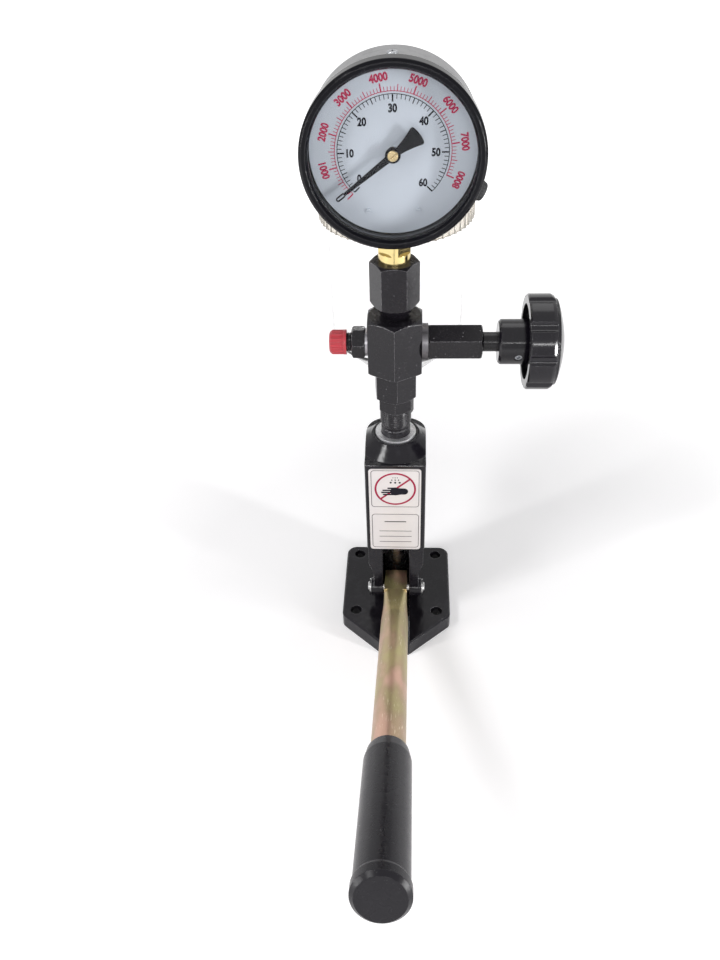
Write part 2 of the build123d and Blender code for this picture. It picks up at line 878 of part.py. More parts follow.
def gauge_adapter():
    """Hexagon adapter between the block and the gauge, with a tapered neck below."""
    body = round_bar(union_spigot_radius, block_top - adapter_spigot_depth, block_top)
    body += turned(
        (0, block_top),
        (adapter_neck_foot_radius, block_top),
        (adapter_neck_top_radius, adapter_hex_bottom),
        (0, adapter_hex_bottom),
    )
    body += Rot(0, 0, 30) * hexagon_bar(adapter_hex_across, adapter_hex_bottom, adapter_top)
    socket_bottom = adapter_top - socket_stem_depth - BODY_GAP
    body -= round_bar(socket_stem_radius + RUN_GAP, socket_bottom, adapter_top + OVERRUN)
    return body - round_bar(passage_radius, block_top - adapter_spigot_depth - OVERRUN, adapter_top)


def socket_block():
    """Square block inside the case, which holds the pressure tube and the movement."""
    low = socket_shoulder
    half_width = socket_block_width / 2
    half_depth = socket_block_depth / 2
    return block((-half_width, half_width), (-half_depth, half_depth), (low, low + socket_block_height))


def gauge_socket():
    """Brass socket: screwed stem, collar, four spanner flats and the block that holds the tube."""
    flat_bottom = adapter_top + socket_collar_height
    flat_top = flat_bottom + socket_flat_height
    body = round_bar(socket_stem_radius, adapter_top - socket_stem_depth, adapter_top)
    body += round_bar(socket_collar_radius, adapter_top, flat_bottom)
    flats = round_bar(socket_collar_radius, flat_bottom, flat_top)
    half = socket_flat_across / 2
    flats &= block((-half, half), (-half, half), (flat_bottom, flat_top))
    body += Rot(0, 0, socket_flat_turn) * flats
    body += round_bar(socket_neck_radius, flat_top, socket_shoulder)
    body += socket_block()
    return body - round_bar(passage_radius, adapter_top - socket_stem_depth - OVERRUN, socket_shoulder)


def gauge_case():
    """Round metal case, closed at the back, with holes for the socket, screw and plug."""
    case = turned(
        (0, -case_rear),
        (case_radius - case_back_edge, -case_rear),
        (case_radius, -case_rear + case_back_edge),
        (case_radius, case_front),
        (case_radius - case_wall, case_front),
        (case_radius - case_wall, -case_rear + case_back_edge),
        (case_radius - case_back_edge, -case_rear + case_wall),
        (0, -case_rear + case_wall),
    )
    case -= Rot(90, 0, 0) * round_bar(socket_neck_radius + BODY_GAP, case_radius / 2, case_radius + OVERRUN)
    case -= Pos(0, 0, case_screw_place) * Rot(-90, 0, 0) * round_bar(
        case_screw_shank_radius + RUN_GAP, case_radius / 2, case_radius + OVERRUN
    )
    plug_way = Pos(0, 0, plug_place) * Rot(0, 0, plug_angle) * Rot(0, 90, 0)
    case -= plug_way * round_bar(plug_stem_radius + RUN_GAP, case_radius / 2, case_radius + OVERRUN)
    return gauge_placed(case)


def case_screw():
    """Cross-head screw on top of the case."""
    low = case_radius - case_wall - case_screw_shank_length
    screw = round_bar(case_screw_shank_radius, low, case_radius)
    head = round_bar(case_screw_head_radius, case_radius, case_radius + case_screw_head_height)
    head = fillet(head.edges().sort_by(Axis.Z)[-1], case_screw_slot)
    top = case_radius + case_screw_head_height
    half = case_screw_slot / 2
    for reach_x, reach_y in ((case_screw_head_radius / 2, half), (half, case_screw_head_radius / 2)):
        head -= block((-reach_x, reach_x), (-reach_y, reach_y), (top - case_screw_slot, top + OVERRUN))
    return gauge_placed(Pos(0, 0, case_screw_place) * Rot(-90, 0, 0) * (screw + head))


def vent_plug():
    """Rubber filler plug in the side of the case."""
    low = case_radius - 2 * case_wall
    plug = round_bar(plug_stem_radius, low, case_radius)
    head = round_bar(plug_head_radius, case_radius, case_radius + plug_head_height)
    head = fillet(head.edges().sort_by(Axis.Z)[-1], plug_head_round)
    return gauge_placed(Pos(0, 0, plug_place) * Rot(0, 0, plug_angle) * Rot(0, 90, 0) * (plug + head))


def gauge_bezel():
    """Black ring that clamps the glass on the case."""
    rear = bezel_front - bezel_depth
    lip_back = bezel_front - bezel_lip_thickness
    bore = case_radius + RUN_GAP
    return gauge_placed(turned(
        (bore, rear),
        (bezel_radius, rear),
        (bezel_radius, bezel_front - bezel_edge),
        (bezel_radius - bezel_edge, bezel_front),
        (bezel_lip_radius + bezel_edge, bezel_front),
        (bezel_lip_radius, lip_back),
        (bore, lip_back),
    ))


def gauge_glass():
    """Flat window behind the bezel's lip."""
    front = bezel_front - bezel_lip_thickness
    return gauge_placed(round_bar(glass_radius, front - glass_thickness, front))


def glass_gasket():
    """Rubber ring between the glass and the rim of the case."""
    front = bezel_front - bezel_lip_thickness - glass_thickness
    return gauge_placed(pipe(glass_radius, gasket_inner_radius, case_front, front))


def gauge_dial():
    """Dial plate with a hole for the pointer's arbor, on two posts from the movement's feet."""
    dial = pipe(dial_radius, dial_hole_radius, dial_front - dial_thickness, dial_front)
    return gauge_placed(dial)


def dial_posts():
    """The two posts that carry the dial, from the movement's feet up to the plate."""
    posts = []
    for side in (-1, 1):
        post = round_bar(pillar_radius, plate_rear_place, dial_front - dial_thickness)
        posts.append(gauge_placed(Pos(*dial_post_centre(side)) * post))
    return Compound(children=posts)


def dial_post_centre(side):
    """Centre of a dial post in the plane of the dial."""
    return side * dial_post_place, -gear_centres - plate_reach_below, 0


def dial_screws():
    """The two slotted screws that hold the dial on its posts."""
    top = dial_front + dial_screw_height
    screws = []
    for side in (-1, 1):
        screw = round_bar(dial_screw_radius, dial_front, top)
        half = dial_screw_slot / 2
        reach = dial_screw_radius + OVERRUN
        screw -= block((-reach, reach), (-half, half), (top - dial_screw_slot, top + OVERRUN))
        screws.append(gauge_placed(Pos(*dial_post_centre(side)) * screw))
    return Compound(children=screws)


def movement_plates():
    """Two brass plates on pillars that carry the pinion and the gear sector."""
    low = -gear_centres - plate_reach_below
    high = plate_reach_above
    middle = (low + high) / 2
    sheet = Pos(0, middle, 0) * RectangleRounded(2 * plate_half_width, high - low, plate_edge)
    frame = Pos(0, 0, plate_gap_top) * extrude(sheet, amount=plate_thickness)
    frame += Pos(0, 0, plate_rear_back) * extrude(sheet, amount=plate_thickness)
    for x_side in (-1, 1):
        for y_place in (low + pillar_inset, high - pillar_inset):
            pillar = round_bar(pillar_radius, plate_rear_back, plate_front_place)
            frame += Pos(x_side * (plate_half_width - pillar_inset), y_place, 0) * pillar
    foot_reach = dial_post_place + pillar_radius + plate_edge
    frame += block(
        (-foot_reach, foot_reach),
        (low - pillar_radius, low + pillar_radius),
        (plate_rear_back, plate_rear_place),
    )
    frame += block(
        (-socket_block_width / 2, socket_block_width / 2),
        (-gear_centres - plate_foot_reach, low),
        (plate_rear_back, plate_rear_place),
    )
    for y_place in (0, -gear_centres):
        hole = round_bar(arbor_radius + RUN_GAP, plate_rear_back - OVERRUN, plate_front_place + OVERRUN)
        frame -= Pos(0, y_place, 0) * hole
    return gauge_placed(frame)


def gear_with_arbor(face, arbor_end):
    """Flat gear between the movement plates, on an arbor with a boss on each side."""
    gear = Pos(0, 0, gear_bottom) * extrude(face, amount=gear_thickness)
    gear += round_bar(arbor_boss_radius, plate_gap_bottom + arbor_boss_gap, gear_bottom)
    gear += round_bar(arbor_boss_radius, gear_top, plate_gap_top - arbor_boss_gap)
    return gear + round_bar(arbor_radius, plate_rear_back, arbor_end)


def tooth(radius, count):
    """One straight-flanked tooth standing on the pitch circle, pointing along +X."""
    pitch = 2 * math.pi * radius / count
    half = pitch * tooth_thickness_share / 2
    tip = half * tooth_tip_share
    root = radius - gear_module - gear_root_gap
    outline = ((root - gear_root_gap, -2 * half), (radius, -half), (radius + gear_module, -tip),
               (radius + gear_module, tip), (radius, half), (root - gear_root_gap, 2 * half))
    return make_face(Polyline(*outline, close=True))


def pinion_arbor():
    """Pointer's arbor with its pinion between the movement plates."""
    root = pinion_radius - gear_module - gear_root_gap
    step = 360 / pinion_teeth
    face = Circle(root)
    for index in range(pinion_teeth):
        face += Rot(0, 0, index * step + step / 2 - 90) * tooth(pinion_radius, pinion_teeth)
    return gauge_placed(gear_with_arbor(face, pointer_front))


def sector_gear():
    """Toothed sector on its own arbor, with a tail that the pressure tube pulls."""
    root = sector_radius - gear_module - gear_root_gap
    step = 360 / sector_teeth_round
    last = 90 + sector_teeth_spare * step
    first = last - (sector_teeth_cut - 1) * step
    middle = (first + last) / 2
    rim_inner = root - sector_arm_half_width
    wedge = Polyline(
        (0, 0), polar(2 * sector_radius, first - step), polar(2 * sector_radius, last + step), close=True
    )
    face = (Circle(root) - Circle(rim_inner)) & make_face(wedge)
    for index in range(sector_teeth_cut):
        face += Rot(0, 0, first + index * step) * tooth(sector_radius, sector_teeth_round)
    arm = Pos(rim_inner / 2, 0) * Rectangle(rim_inner + OVERRUN, 2 * sector_arm_half_width)
    tail = Pos(sector_tail_length / 2, 0) * Rectangle(sector_tail_length, 2 * sector_tail_half_width)
    eye = Pos(sector_tail_length, 0) * Circle(link_eye_radius)
    face += Rot(0, 0, middle) * arm + Rot(0, 0, sector_tail_angle) * (tail + eye) + Circle(sector_hub_radius)
    gear = gear_with_arbor(face, plate_front_place)
    rivet_x, rivet_y = polar(sector_tail_length, sector_tail_angle)
    rivet = round_bar(link_rivet_radius, gear_bottom, gear_top + 2 * arbor_boss_gap + link_thickness)
    return gauge_placed(Pos(0, -gear_centres, 0) * (gear + Pos(rivet_x, rivet_y, 0) * rivet))


def tube_tip():
    """End of the pressure tube's centre line, in the plane of the dial."""
    return polar(tube_coil_radius, tube_root_angle - tube_sweep)


def movement_link():
    """Flat link from the sector's tail to the end of the pressure tube."""
    tail_x, tail_y = polar(sector_tail_length, sector_tail_angle)
    tail_y -= gear_centres
    tip_x, tip_y = tube_tip()
    tip_x -= tube_lug_reach
    length = math.hypot(tip_x - tail_x, tip_y - tail_y)
    slope = math.degrees(math.atan2(tip_y - tail_y, tip_x - tail_x))
    face = Pos(length / 2, 0) * Rectangle(length, 2 * link_half_width)
    face += Circle(link_eye_radius) + Pos(length, 0) * Circle(link_eye_radius)
    face -= Circle(link_rivet_radius + RUN_GAP)
    low = gear_top + arbor_boss_gap
    plate = extrude(face, amount=link_thickness)
    return gauge_placed(Pos(tail_x, tail_y, low) * Rot(0, 0, slope) * plate)


def bourdon_tube():
    """Flat spring tube bent round the movement, from the socket's block to a lug at its end."""
    path = CenterArc((0, 0), tube_coil_radius, tube_root_angle, -tube_sweep)
    section = Plane(origin=path @ 0, x_dir=(0, 0, 1), z_dir=path % 0) * SlotOverall(
        2 * tube_half_depth, 2 * tube_half_thickness
    )
    tube = sweep(section, path=path)
    tip_x, tip_y = tube_tip()
    lug_low = tip_y - tube_half_thickness
    lug_high = tip_y + tube_half_thickness
    reach = tip_x - tube_lug_reach - link_eye_radius
    tube += block((reach, tip_x), (lug_low, lug_high), (-tube_half_depth, tube_half_depth))
    return gauge_placed(tube) - socket_block()


def pointer():
    """Flat pointer with a tapered arm, a loop at its tip and a fan-shaped counterweight."""
    arm_end_place = pointer_tip_length - pointer_loop_length / 2 + pointer_tip_half_width
    arm = make_face(Polyline(
        (0, -pointer_neck_half_width),
        (arm_end_place, -pointer_tip_half_width),
        (arm_end_place, pointer_tip_half_width),
        (0, pointer_neck_half_width),
        close=True,
    ))
    neck_x = -pointer_hub_radius + pointer_loop_radius
    neck_y = pointer_tail_neck_half_width
    corner_x, corner_y = polar(-pointer_tail_length, pointer_tail_half_angle)
    side_x = (neck_x + corner_x) / 2
    side_y = (neck_y - corner_y) / 2 - pointer_tail_hollow
    outline = ThreePointArc((neck_x, neck_y), (side_x, side_y), (corner_x, -corner_y))
    outline += ThreePointArc((corner_x, -corner_y), (-pointer_tail_length, 0), (corner_x, corner_y))
    outline += ThreePointArc((corner_x, corner_y), (side_x, -side_y), (neck_x, -neck_y))
    outline += Line((neck_x, -neck_y), (neck_x, neck_y))
    tail = make_face(outline)
    corners = tail.vertices().sort_by(Axis.X)[0:2]
    tail = fillet(corners, pointer_tail_round)
    ring = pointer_loop_radius - pointer_loop_hole
    loop = SlotOverall(pointer_loop_length, 2 * pointer_loop_radius)
    loop -= SlotOverall(pointer_loop_length - 2 * ring, 2 * pointer_loop_hole)
    loop = Pos(pointer_tip_length, 0) * loop
    face = Rot(0, 0, pointer_rest_angle) * (arm + tail + loop + Circle(pointer_hub_radius))
    low = pointer_front - pointer_thickness
    plate = Pos(0, 0, low) * extrude(face, amount=pointer_thickness)
    return gauge_placed(plate - round_bar(arbor_radius, low - OVERRUN, pointer_front + OVERRUN))


def pointer_cap():
    """Slotted brass cap that holds the pointer on its arbor."""
    top = pointer_front + pointer_cap_height
    cap = round_bar(pointer_cap_radius, pointer_front, top)
    cap = chamfer(cap.edges().sort_by(Axis.Z)[-1], pointer_cap_slot / 2)
    half = pointer_cap_slot / 2
    slot = block(
        (-pointer_cap_radius, pointer_cap_radius), (-half, half), (top - pointer_cap_slot, top + OVERRUN)
    )
    return gauge_placed(cap - Rot(0, 0, pointer_rest_angle) * slot)


def shutoff_washer():
    """Aluminium sealing washer under the valve housing."""
    ring = pipe(valve_washer_radius, valve_spigot_radius + RUN_GAP, block_half, valve_hex_start)
    return along_x(ring, port_height)


def shutoff_housing():
    """Hexagon valve housing with a seat at its inner end and a gland bore at its outer end."""
    bore = needle_radius + RUN_GAP
    shoulder = valve_seat_place + needle_tip_length
    body = round_bar(valve_spigot_radius, spigot_start, valve_hex_start)
    body += Rot(0, 0, 30) * hexagon_bar(valve_hex_across, valve_hex_start, valve_hex_end)
    body -= round_bar(valve_seat_hole, spigot_start - OVERRUN, shoulder)
    body -= turned(
        (0, valve_seat_place), (valve_seat_hole, valve_seat_place), (bore, shoulder), (0, shoulder)
    )
    body -= round_bar(bore, shoulder, needle_end)
    body -= round_bar(spindle_radius + RUN_GAP, needle_end, valve_hex_end + OVERRUN)
    body -= round_bar(gland_radius + RUN_GAP, packing_start, valve_hex_end + OVERRUN)
    return along_x(body, port_height)


def valve_needle():
    """Steel needle that closes the seat, with its end held in the spindle."""
    tip = valve_seat_place + BODY_GAP
    end = needle_end + spindle_socket_depth
    return along_x(turned(
        (0, tip),
        (needle_tip_radius, tip),
        (needle_radius, tip + needle_tip_length),
        (needle_radius, end),
        (0, end),
    ), port_height)


def valve_spindle():
    """Spindle between the needle and the knob, with a collar outside the gland."""
    start = needle_end + BODY_GAP
    collar_start = valve_hex_end + BODY_GAP
    bar = round_bar(spindle_radius, start, hub_start + knob_bore_depth)
    collar = round_bar(spindle_collar_radius, collar_start, hub_start)
    collar = chamfer(collar.edges().sort_by(Axis.Z)[0], spindle_edge)
    bar += collar
    bore_end = needle_end + spindle_socket_depth + BODY_GAP
    return along_x(bar - round_bar(needle_radius + RUN_GAP, start - OVERRUN, bore_end), port_height)


def stem_packing():
    """Packing ring round the spindle."""
    return along_x(pipe(gland_radius, spindle_radius + RUN_GAP, packing_start, gland_start), port_height)


def gland_bush():
    """Bush that presses the packing together."""
    return along_x(pipe(gland_radius, spindle_radius + RUN_GAP, gland_start, valve_hex_end), port_height)


def set_screw_way():
    """Placement of the set screw: its +Z points out of the hub."""
    return Pos(hub_start + set_screw_place, 0, port_height) * Rot(90 + set_screw_angle, 0, 0)


def valve_knob():
    """Lobed knob: domed front, scalloped rim, recessed back and a long hub."""
    rim_front = knob_back + knob_rim_length
    apex = rim_front + knob_dome_height
    dome_radius = (knob_radius ** 2 + knob_dome_height ** 2) / (2 * knob_dome_height)
    dome = Pos(0, 0, apex - dome_radius) * Sphere(dome_radius)
    centre = knob_radius - knob_scallop_depth + knob_scallop_radius
    step = 360 / knob_lobes
    face = Circle(knob_radius)
    for index in range(knob_lobes):
        face -= Pos(*polar(centre, index * step + step / 2)) * Circle(knob_scallop_radius)
    face = fillet(face.vertices(), knob_lobe_edge)
    rim = turned(
        (0, knob_back),
        (knob_radius - knob_lobe_edge, knob_back),
        (knob_radius, knob_back + knob_lobe_edge),
        (knob_radius, rim_front - knob_rim_edge),
        (knob_radius - knob_rim_edge / 3, rim_front - knob_rim_edge / 3),
        (knob_radius - knob_rim_edge, rim_front),
        (knob_radius - knob_rim_edge, apex),
        (0, apex),
    )
    body = extrude(Pos(0, 0, knob_back) * face, amount=apex - knob_back) & dome & rim
    body -= pipe(knob_recess_radius, hub_radius, knob_back - OVERRUN, knob_back + knob_recess_depth)
    hub = round_bar(hub_radius, hub_start, knob_back + knob_recess_depth)
    body += chamfer(hub.edges().sort_by(Axis.Z)[0], hub_edge)
    body -= round_bar(spindle_radius + RUN_GAP, hub_start - OVERRUN, hub_start + knob_bore_depth + BODY_GAP)
    knob = along_x(Rot(0, 0, -90 - knob_lobe_angle) * body, port_height)
    return knob - set_screw_way() * round_bar(set_screw_radius + RUN_GAP, 0, hub_radius + OVERRUN)


def knob_set_screw():
    """Socket set screw that locks the hub on the spindle."""
    top = hub_radius - set_screw_sink
    screw = round_bar(set_screw_radius, spindle_radius + RUN_GAP, top)
    socket = extrude(
        Pos(0, 0, top - set_screw_socket_depth) * RegularPolygon(set_screw_socket / math.sqrt(3), 6),
        amount=set_screw_socket_depth + OVERRUN,
    )
    return set_screw_way() * (screw - socket)


def outlet_washer():
    """Sealing washer under the outlet fitting."""
    return along_minus_x(
        pipe(outlet_washer_radius, outlet_thread_radius + RUN_GAP, block_half, outlet_hex_start), port_height
    )


def outlet_fitting():
    """Threaded outlet for the test pipe, with a sealing cone in its mouth."""
    body = round_bar(outlet_thread_radius, spigot_start, outlet_end)
    body = chamfer(body.edges().sort_by(Axis.Z)[-1], pin_chamfer)
    body += Rot(0, 0, outlet_hex_turn) * hexagon_bar(outlet_hex_across, outlet_hex_start, outlet_thread_start)
    body -= round_bar(outlet_bore_radius, spigot_start - OVERRUN, outlet_end + OVERRUN)
    body -= turned(
        (0, outlet_end - outlet_cone_depth),
        (outlet_bore_radius, outlet_end - outlet_cone_depth),
        (outlet_cone_radius, outlet_end),
        (0, outlet_end),
    )
    return along_minus_x(body, port_height)


def outlet_cap():
    """Plastic dust cap, ribbed and flanged, over the outlet's thread."""
    start = outlet_thread_start + cap_start_gap
    end = outlet_end + BODY_GAP + cap_end_wall
    cap = round_bar(cap_radius, start, end)
    cap = chamfer(cap.edges().sort_by(Axis.Z)[-1], cap_edge)
    cap += round_bar(cap_flange_radius, start, start + cap_flange_length)
    for index in range(cap_rib_count):
        rib = round_bar(cap_rib_radius, start + cap_flange_length / 2, end - cap_end_wall)
        cap += Pos(*polar(cap_radius, index * 360 / cap_rib_count)) * rib
    cap -= round_bar(outlet_thread_radius + RUN_GAP, start - OVERRUN, outlet_end + BODY_GAP)
    return along_minus_x(cap, port_height)


def oil_jar():
    """Clear jar: straight wall, conical bottom and a flat seat on the arm."""
    inner = jar_radius - jar_wall
    jar = turned(
        (0, jar_bottom),
        (jar_seat_radius, jar_bottom),
        (jar_radius, jar_funnel_top),
        (jar_radius, jar_top),
        (inner, jar_top),
        (inner, jar_funnel_top + jar_wall / 2),
        (jar_seat_radius, jar_floor_top),
        (0, jar_floor_top),
    )
    outer_knee = jar.edges().filter_by(GeomType.CIRCLE).filter_by_position(
        Axis.Z, jar_funnel_top - RUN_GAP, jar_funnel_top + RUN_GAP
    )
    jar = fillet(outer_knee, jar_funnel_round)
    jar -= round_bar(jar_bolt_radius + RUN_GAP, jar_bottom - OVERRUN, jar_floor_top + OVERRUN)
    return Pos(0, jar_back, 0) * jar


def jar_gasket():
    """Seal between the jar and the arm."""
    ring = pipe(jar_seat_radius, jar_bolt_radius + RUN_GAP, jar_boss_top, jar_bottom)
    return Pos(0, jar_back, 0) * ring


def jar_bolt():
    """Hollow bolt that holds the jar and lets the oil out."""
    low = jar_boss_top - jar_bolt_depth + BODY_GAP
    top = jar_floor_top + jar_bolt_head_height
    bolt = round_bar(jar_bolt_radius, low, jar_floor_top)
    bolt += hexagon_bar(jar_bolt_head_across, jar_floor_top, top)
    bolt -= round_bar(inlet_radius, low - OVERRUN, top + OVERRUN)
    return Pos(0, jar_back, 0) * bolt


def strainer():
    """Fine gauze cup on top of the hollow bolt."""
    floor = jar_floor_top + jar_bolt_head_height
    top = floor + strainer_height
    cup = round_bar(strainer_radius, floor, top)
    cup = chamfer(cup.edges().sort_by(Axis.Z)[-1], strainer_wall)
    cup -= round_bar(strainer_radius - strainer_wall, floor - OVERRUN, top - strainer_wall)
    cup += pipe(strainer_radius, inlet_radius + strainer_wall, floor, floor + strainer_wall)
    return Pos(0, jar_back, 0) * cup


def jar_lid():
    """Clear push-on lid with a ribbed skirt, a raised crown and a small breather hole."""
    plate_top = lid_plate_bottom + lid_plate_thickness
    lid = round_bar(lid_radius, lid_skirt_bottom, plate_top)
    lid += round_bar(lid_crown_radius, plate_top, plate_top + lid_crown_height)
    for index in range(lid_rib_count):
        rib = round_bar(lid_rib_radius, lid_skirt_bottom, plate_top)
        lid += Pos(*polar(lid_radius + lid_rib_stand - lid_rib_radius, index * 360 / lid_rib_count)) * rib
    lid -= round_bar(lid_bore_radius, lid_skirt_bottom - OVERRUN, lid_plate_bottom)
    vent = round_bar(lid_vent_radius, jar_top, plate_top + lid_crown_height + OVERRUN)
    lid -= Pos(0, lid_vent_place, 0) * vent
    return Pos(0, jar_back, 0) * lid


def lever_placed(piece):
    """Put a piece built in the lever's own frame (tip along +Y) at its raised rest."""
    return Pos(0, -pivot_forward, pivot_height) * Rot(-lever_rest_angle, 0, 0) * piece


def lever_head():
    """Flattened head: pivot eye, a rounded step and a blunt finger that lifts the tappet."""
    half = lever_head_height / 2
    thickness = lever_head_thickness / 2
    outline = FilletPolyline(
        (-lever_head_back, -half),
        (lever_finger_length, -half + lever_finger_tip_rise),
        (lever_finger_length, lever_finger_top),
        (lever_step_from_pivot, lever_finger_top),
        (lever_step_from_pivot - lever_step_overhang, half),
        (-lever_head_back, half),
        radius=lever_step_radius,
    )
    outline += Line((-lever_head_back, half), (-lever_head_back, -half))
    head = extrude(make_face(Plane.YZ * outline), amount=thickness, both=True)
    return head - along_x(round_bar(pivot_pin_radius + RUN_GAP, -thickness - OVERRUN, thickness + OVERRUN), 0)


def lever_section(place):
    """Plane across the lever at a place along it, facing the grip."""
    return Plane(origin=(0, place, 0), x_dir=(1, 0, 0), z_dir=(0, -1, 0))


def lever_bar():
    """Steel tube lever with its end pressed flat into a head."""
    neck_end = -lever_head_back - lever_neck_length
    bar_end = -lever_length_to_grip_end + grip_end_wall
    flat = RectangleRounded(lever_head_thickness, lever_head_height, lever_head_corner)
    neck = loft([lever_section(-lever_head_back) * flat, lever_section(neck_end) * Circle(lever_bar_radius)])
    lay = Rot(90, 0, 0)
    tube = lay * pipe(lever_bar_radius, lever_bar_radius - lever_bar_wall, -neck_end, -bar_end)
    return lever_placed(lever_head() + neck + tube)


def lever_grip():
    """Moulded grip with finger scallops on its underside."""
    start = lever_length_to_grip_end - grip_length
    end = lever_length_to_grip_end
    body = turned(
        (0, start),
        (grip_start_radius - grip_edge / 2, start),
        (grip_start_radius, start + grip_edge),
        (grip_radius, start + grip_start_length),
        (grip_radius, end - grip_end_length - grip_edge),
        (grip_end_radius, end - grip_end_length),
        (grip_end_radius, end - grip_edge),
        (grip_end_radius - grip_edge, end),
        (0, end),
    )
    body = Rot(90, 0, 0) * body
    first = -start - finger_first_offset
    last = first - (finger_count - 1) * finger_pitch
    ridge = block(
        (-finger_ridge_half_width, finger_ridge_half_width),
        (last - finger_pitch / 2, first + finger_pitch / 2),
        (-finger_ridge_reach, 0),
    )
    ridge = fillet(ridge.edges().filter_by(Axis.Y).group_by(Axis.Z)[0], 2 * grip_edge)
    drop = finger_ridge_reach + finger_scallop_radius - finger_scallop_depth
    for index in range(finger_count):
        scallop = round_bar(finger_scallop_radius, -grip_radius, grip_radius)
        ridge -= Pos(0, first - index * finger_pitch, 0) * along_x(scallop, -drop)
    bore = Rot(90, 0, 0) * round_bar(lever_bar_radius + RUN_GAP, start - OVERRUN, end - grip_end_wall)
    return lever_placed(body + ridge - bore)


PIECES = {
    "pump_housing": pump_housing,
    "label_plate": label_plate,
    "drill_plug": drill_plug,
    "pump_barrel": pump_barrel,
    "valve_seat": valve_seat,
    "delivery_valve": delivery_valve,
    "delivery_spring": delivery_spring,
    "pressure_union": pressure_union,
    "union_ring": union_ring,
    "lock_nut": lock_nut,
    "valve_block": valve_block,
    "gauge_adapter": gauge_adapter,
    "gauge_socket": gauge_socket,
    "gauge_case": gauge_case,
    "case_screw": case_screw,
    "vent_plug": vent_plug,
    "gauge_bezel": gauge_bezel,
    "gauge_glass": gauge_glass,
    "glass_gasket": glass_gasket,
    "gauge_dial": gauge_dial,
    "dial_posts": dial_posts,
    "dial_screws": dial_screws,
    "movement_plates": movement_plates,
    "pinion_arbor": pinion_arbor,
    "sector_gear": sector_gear,
    "movement_link": movement_link,
    "bourdon_tube": bourdon_tube,
    "pointer": pointer,
    "pointer_cap": pointer_cap,
    "shutoff_washer": shutoff_washer,
    "shutoff_housing": shutoff_housing,
    "stem_packing": stem_packing,
    "gland_bush": gland_bush,
    "valve_needle": valve_needle,
    "valve_spindle": valve_spindle,
    "valve_knob": valve_knob,
    "knob_set_screw": knob_set_screw,
    "outlet_washer": outlet_washer,
    "outlet_fitting": outlet_fitting,
    "outlet_cap": outlet_cap,
    "oil_jar": oil_jar,
    "jar_gasket": jar_gasket,
    "jar_bolt": jar_bolt,
    "strainer": strainer,
    "jar_lid": jar_lid,
    "lever_bar": lever_bar,
    "lever_grip": lever_grip,
    "tappet": tappet,
    "plunger": plunger,
    "spring_seat": spring_seat,
    "return_spring": return_spring,
    "pivot_pin": pivot_pin,
    "pivot_clips": pivot_clips,
    "tappet_pin": tappet_pin,
}

os.makedirs("parts", exist_ok=True)
for name, make in PIECES.items():
    export_step(make(), f"parts/{name}.step")
print(f"plunger travel {plunger_travel:.3f} mm, ratio {plunger_travel / lever_travel:.3f} mm per radian")
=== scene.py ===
"""Looks of a fuel injector tester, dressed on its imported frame.

Metres, in the frame of the CAD parts: +X points to the shut-off knob, -Y to the user and +Z up.
"""

import logging
import math
from dataclasses import dataclass
from enum import Enum

import bmesh
import bpy
import numpy as np
from mathutils import Matrix, Vector


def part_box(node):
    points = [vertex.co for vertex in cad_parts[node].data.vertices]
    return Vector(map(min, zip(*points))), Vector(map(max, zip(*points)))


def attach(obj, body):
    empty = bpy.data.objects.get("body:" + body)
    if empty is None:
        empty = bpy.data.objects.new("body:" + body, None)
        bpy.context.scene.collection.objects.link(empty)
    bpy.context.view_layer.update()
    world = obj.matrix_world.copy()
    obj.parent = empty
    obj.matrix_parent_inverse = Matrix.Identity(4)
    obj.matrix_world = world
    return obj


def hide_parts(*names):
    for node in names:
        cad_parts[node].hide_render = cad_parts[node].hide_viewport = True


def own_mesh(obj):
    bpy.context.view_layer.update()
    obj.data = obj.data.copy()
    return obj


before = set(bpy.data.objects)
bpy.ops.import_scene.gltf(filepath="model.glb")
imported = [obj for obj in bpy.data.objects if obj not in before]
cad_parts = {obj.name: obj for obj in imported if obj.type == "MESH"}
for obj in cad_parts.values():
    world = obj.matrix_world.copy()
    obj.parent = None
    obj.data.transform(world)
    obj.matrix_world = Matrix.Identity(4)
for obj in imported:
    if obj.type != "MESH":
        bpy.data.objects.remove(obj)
log = logging.getLogger("injector_tester")

MM = 0.001
WHITE = (1.0, 1.0, 1.0, 1.0)

Span = tuple[float, float]
Point = tuple[float, float, float]
Colour = tuple[float, float, float]


class Signal:
    """A value on its way through a shader. Arithmetic on it adds Math nodes.

    Args:
        shader: The shader that the value belongs to.
        socket: The output socket that carries it.
    """

    def __init__(self, shader: "Shader", socket: bpy.types.NodeSocket | None) -> None:
        self.shader = shader
        self.socket = socket

    def __add__(self, other: "Signal | float") -> "Signal":
        """Sum with another value."""
        return self.shader.math("ADD", self, other)

    def __sub__(self, other: "Signal | float") -> "Signal":
        """Difference from another value."""
        return self.shader.math("SUBTRACT", self, other)

    def __rsub__(self, other: float) -> "Signal":
        """Difference, with the number first."""
        return self.shader.math("SUBTRACT", other, self)

    def __mul__(self, other: "Signal | float") -> "Signal":
        """Product with another value."""
        return self.shader.math("MULTIPLY", self, other)

    def higher(self, other: "Signal | float") -> "Signal":
        """The higher of this value and another."""
        return self.shader.math("MAXIMUM", self, other)

    def clamped(self) -> "Signal":
        """The value kept between 0 and 1."""
        return self.shader.math("MINIMUM", self.higher(0.0), 1.0)


class Axis(Enum):
    """The axis that a turned or drawn piece lies along."""

    X = 0
    Y = 1
    Z = 2

    def factors(self, along: float, across: float) -> Point:
        """Scale factors of X, Y and Z: one for this axis and one for the other two."""
        return tuple(along if axis is self else across for axis in Axis)


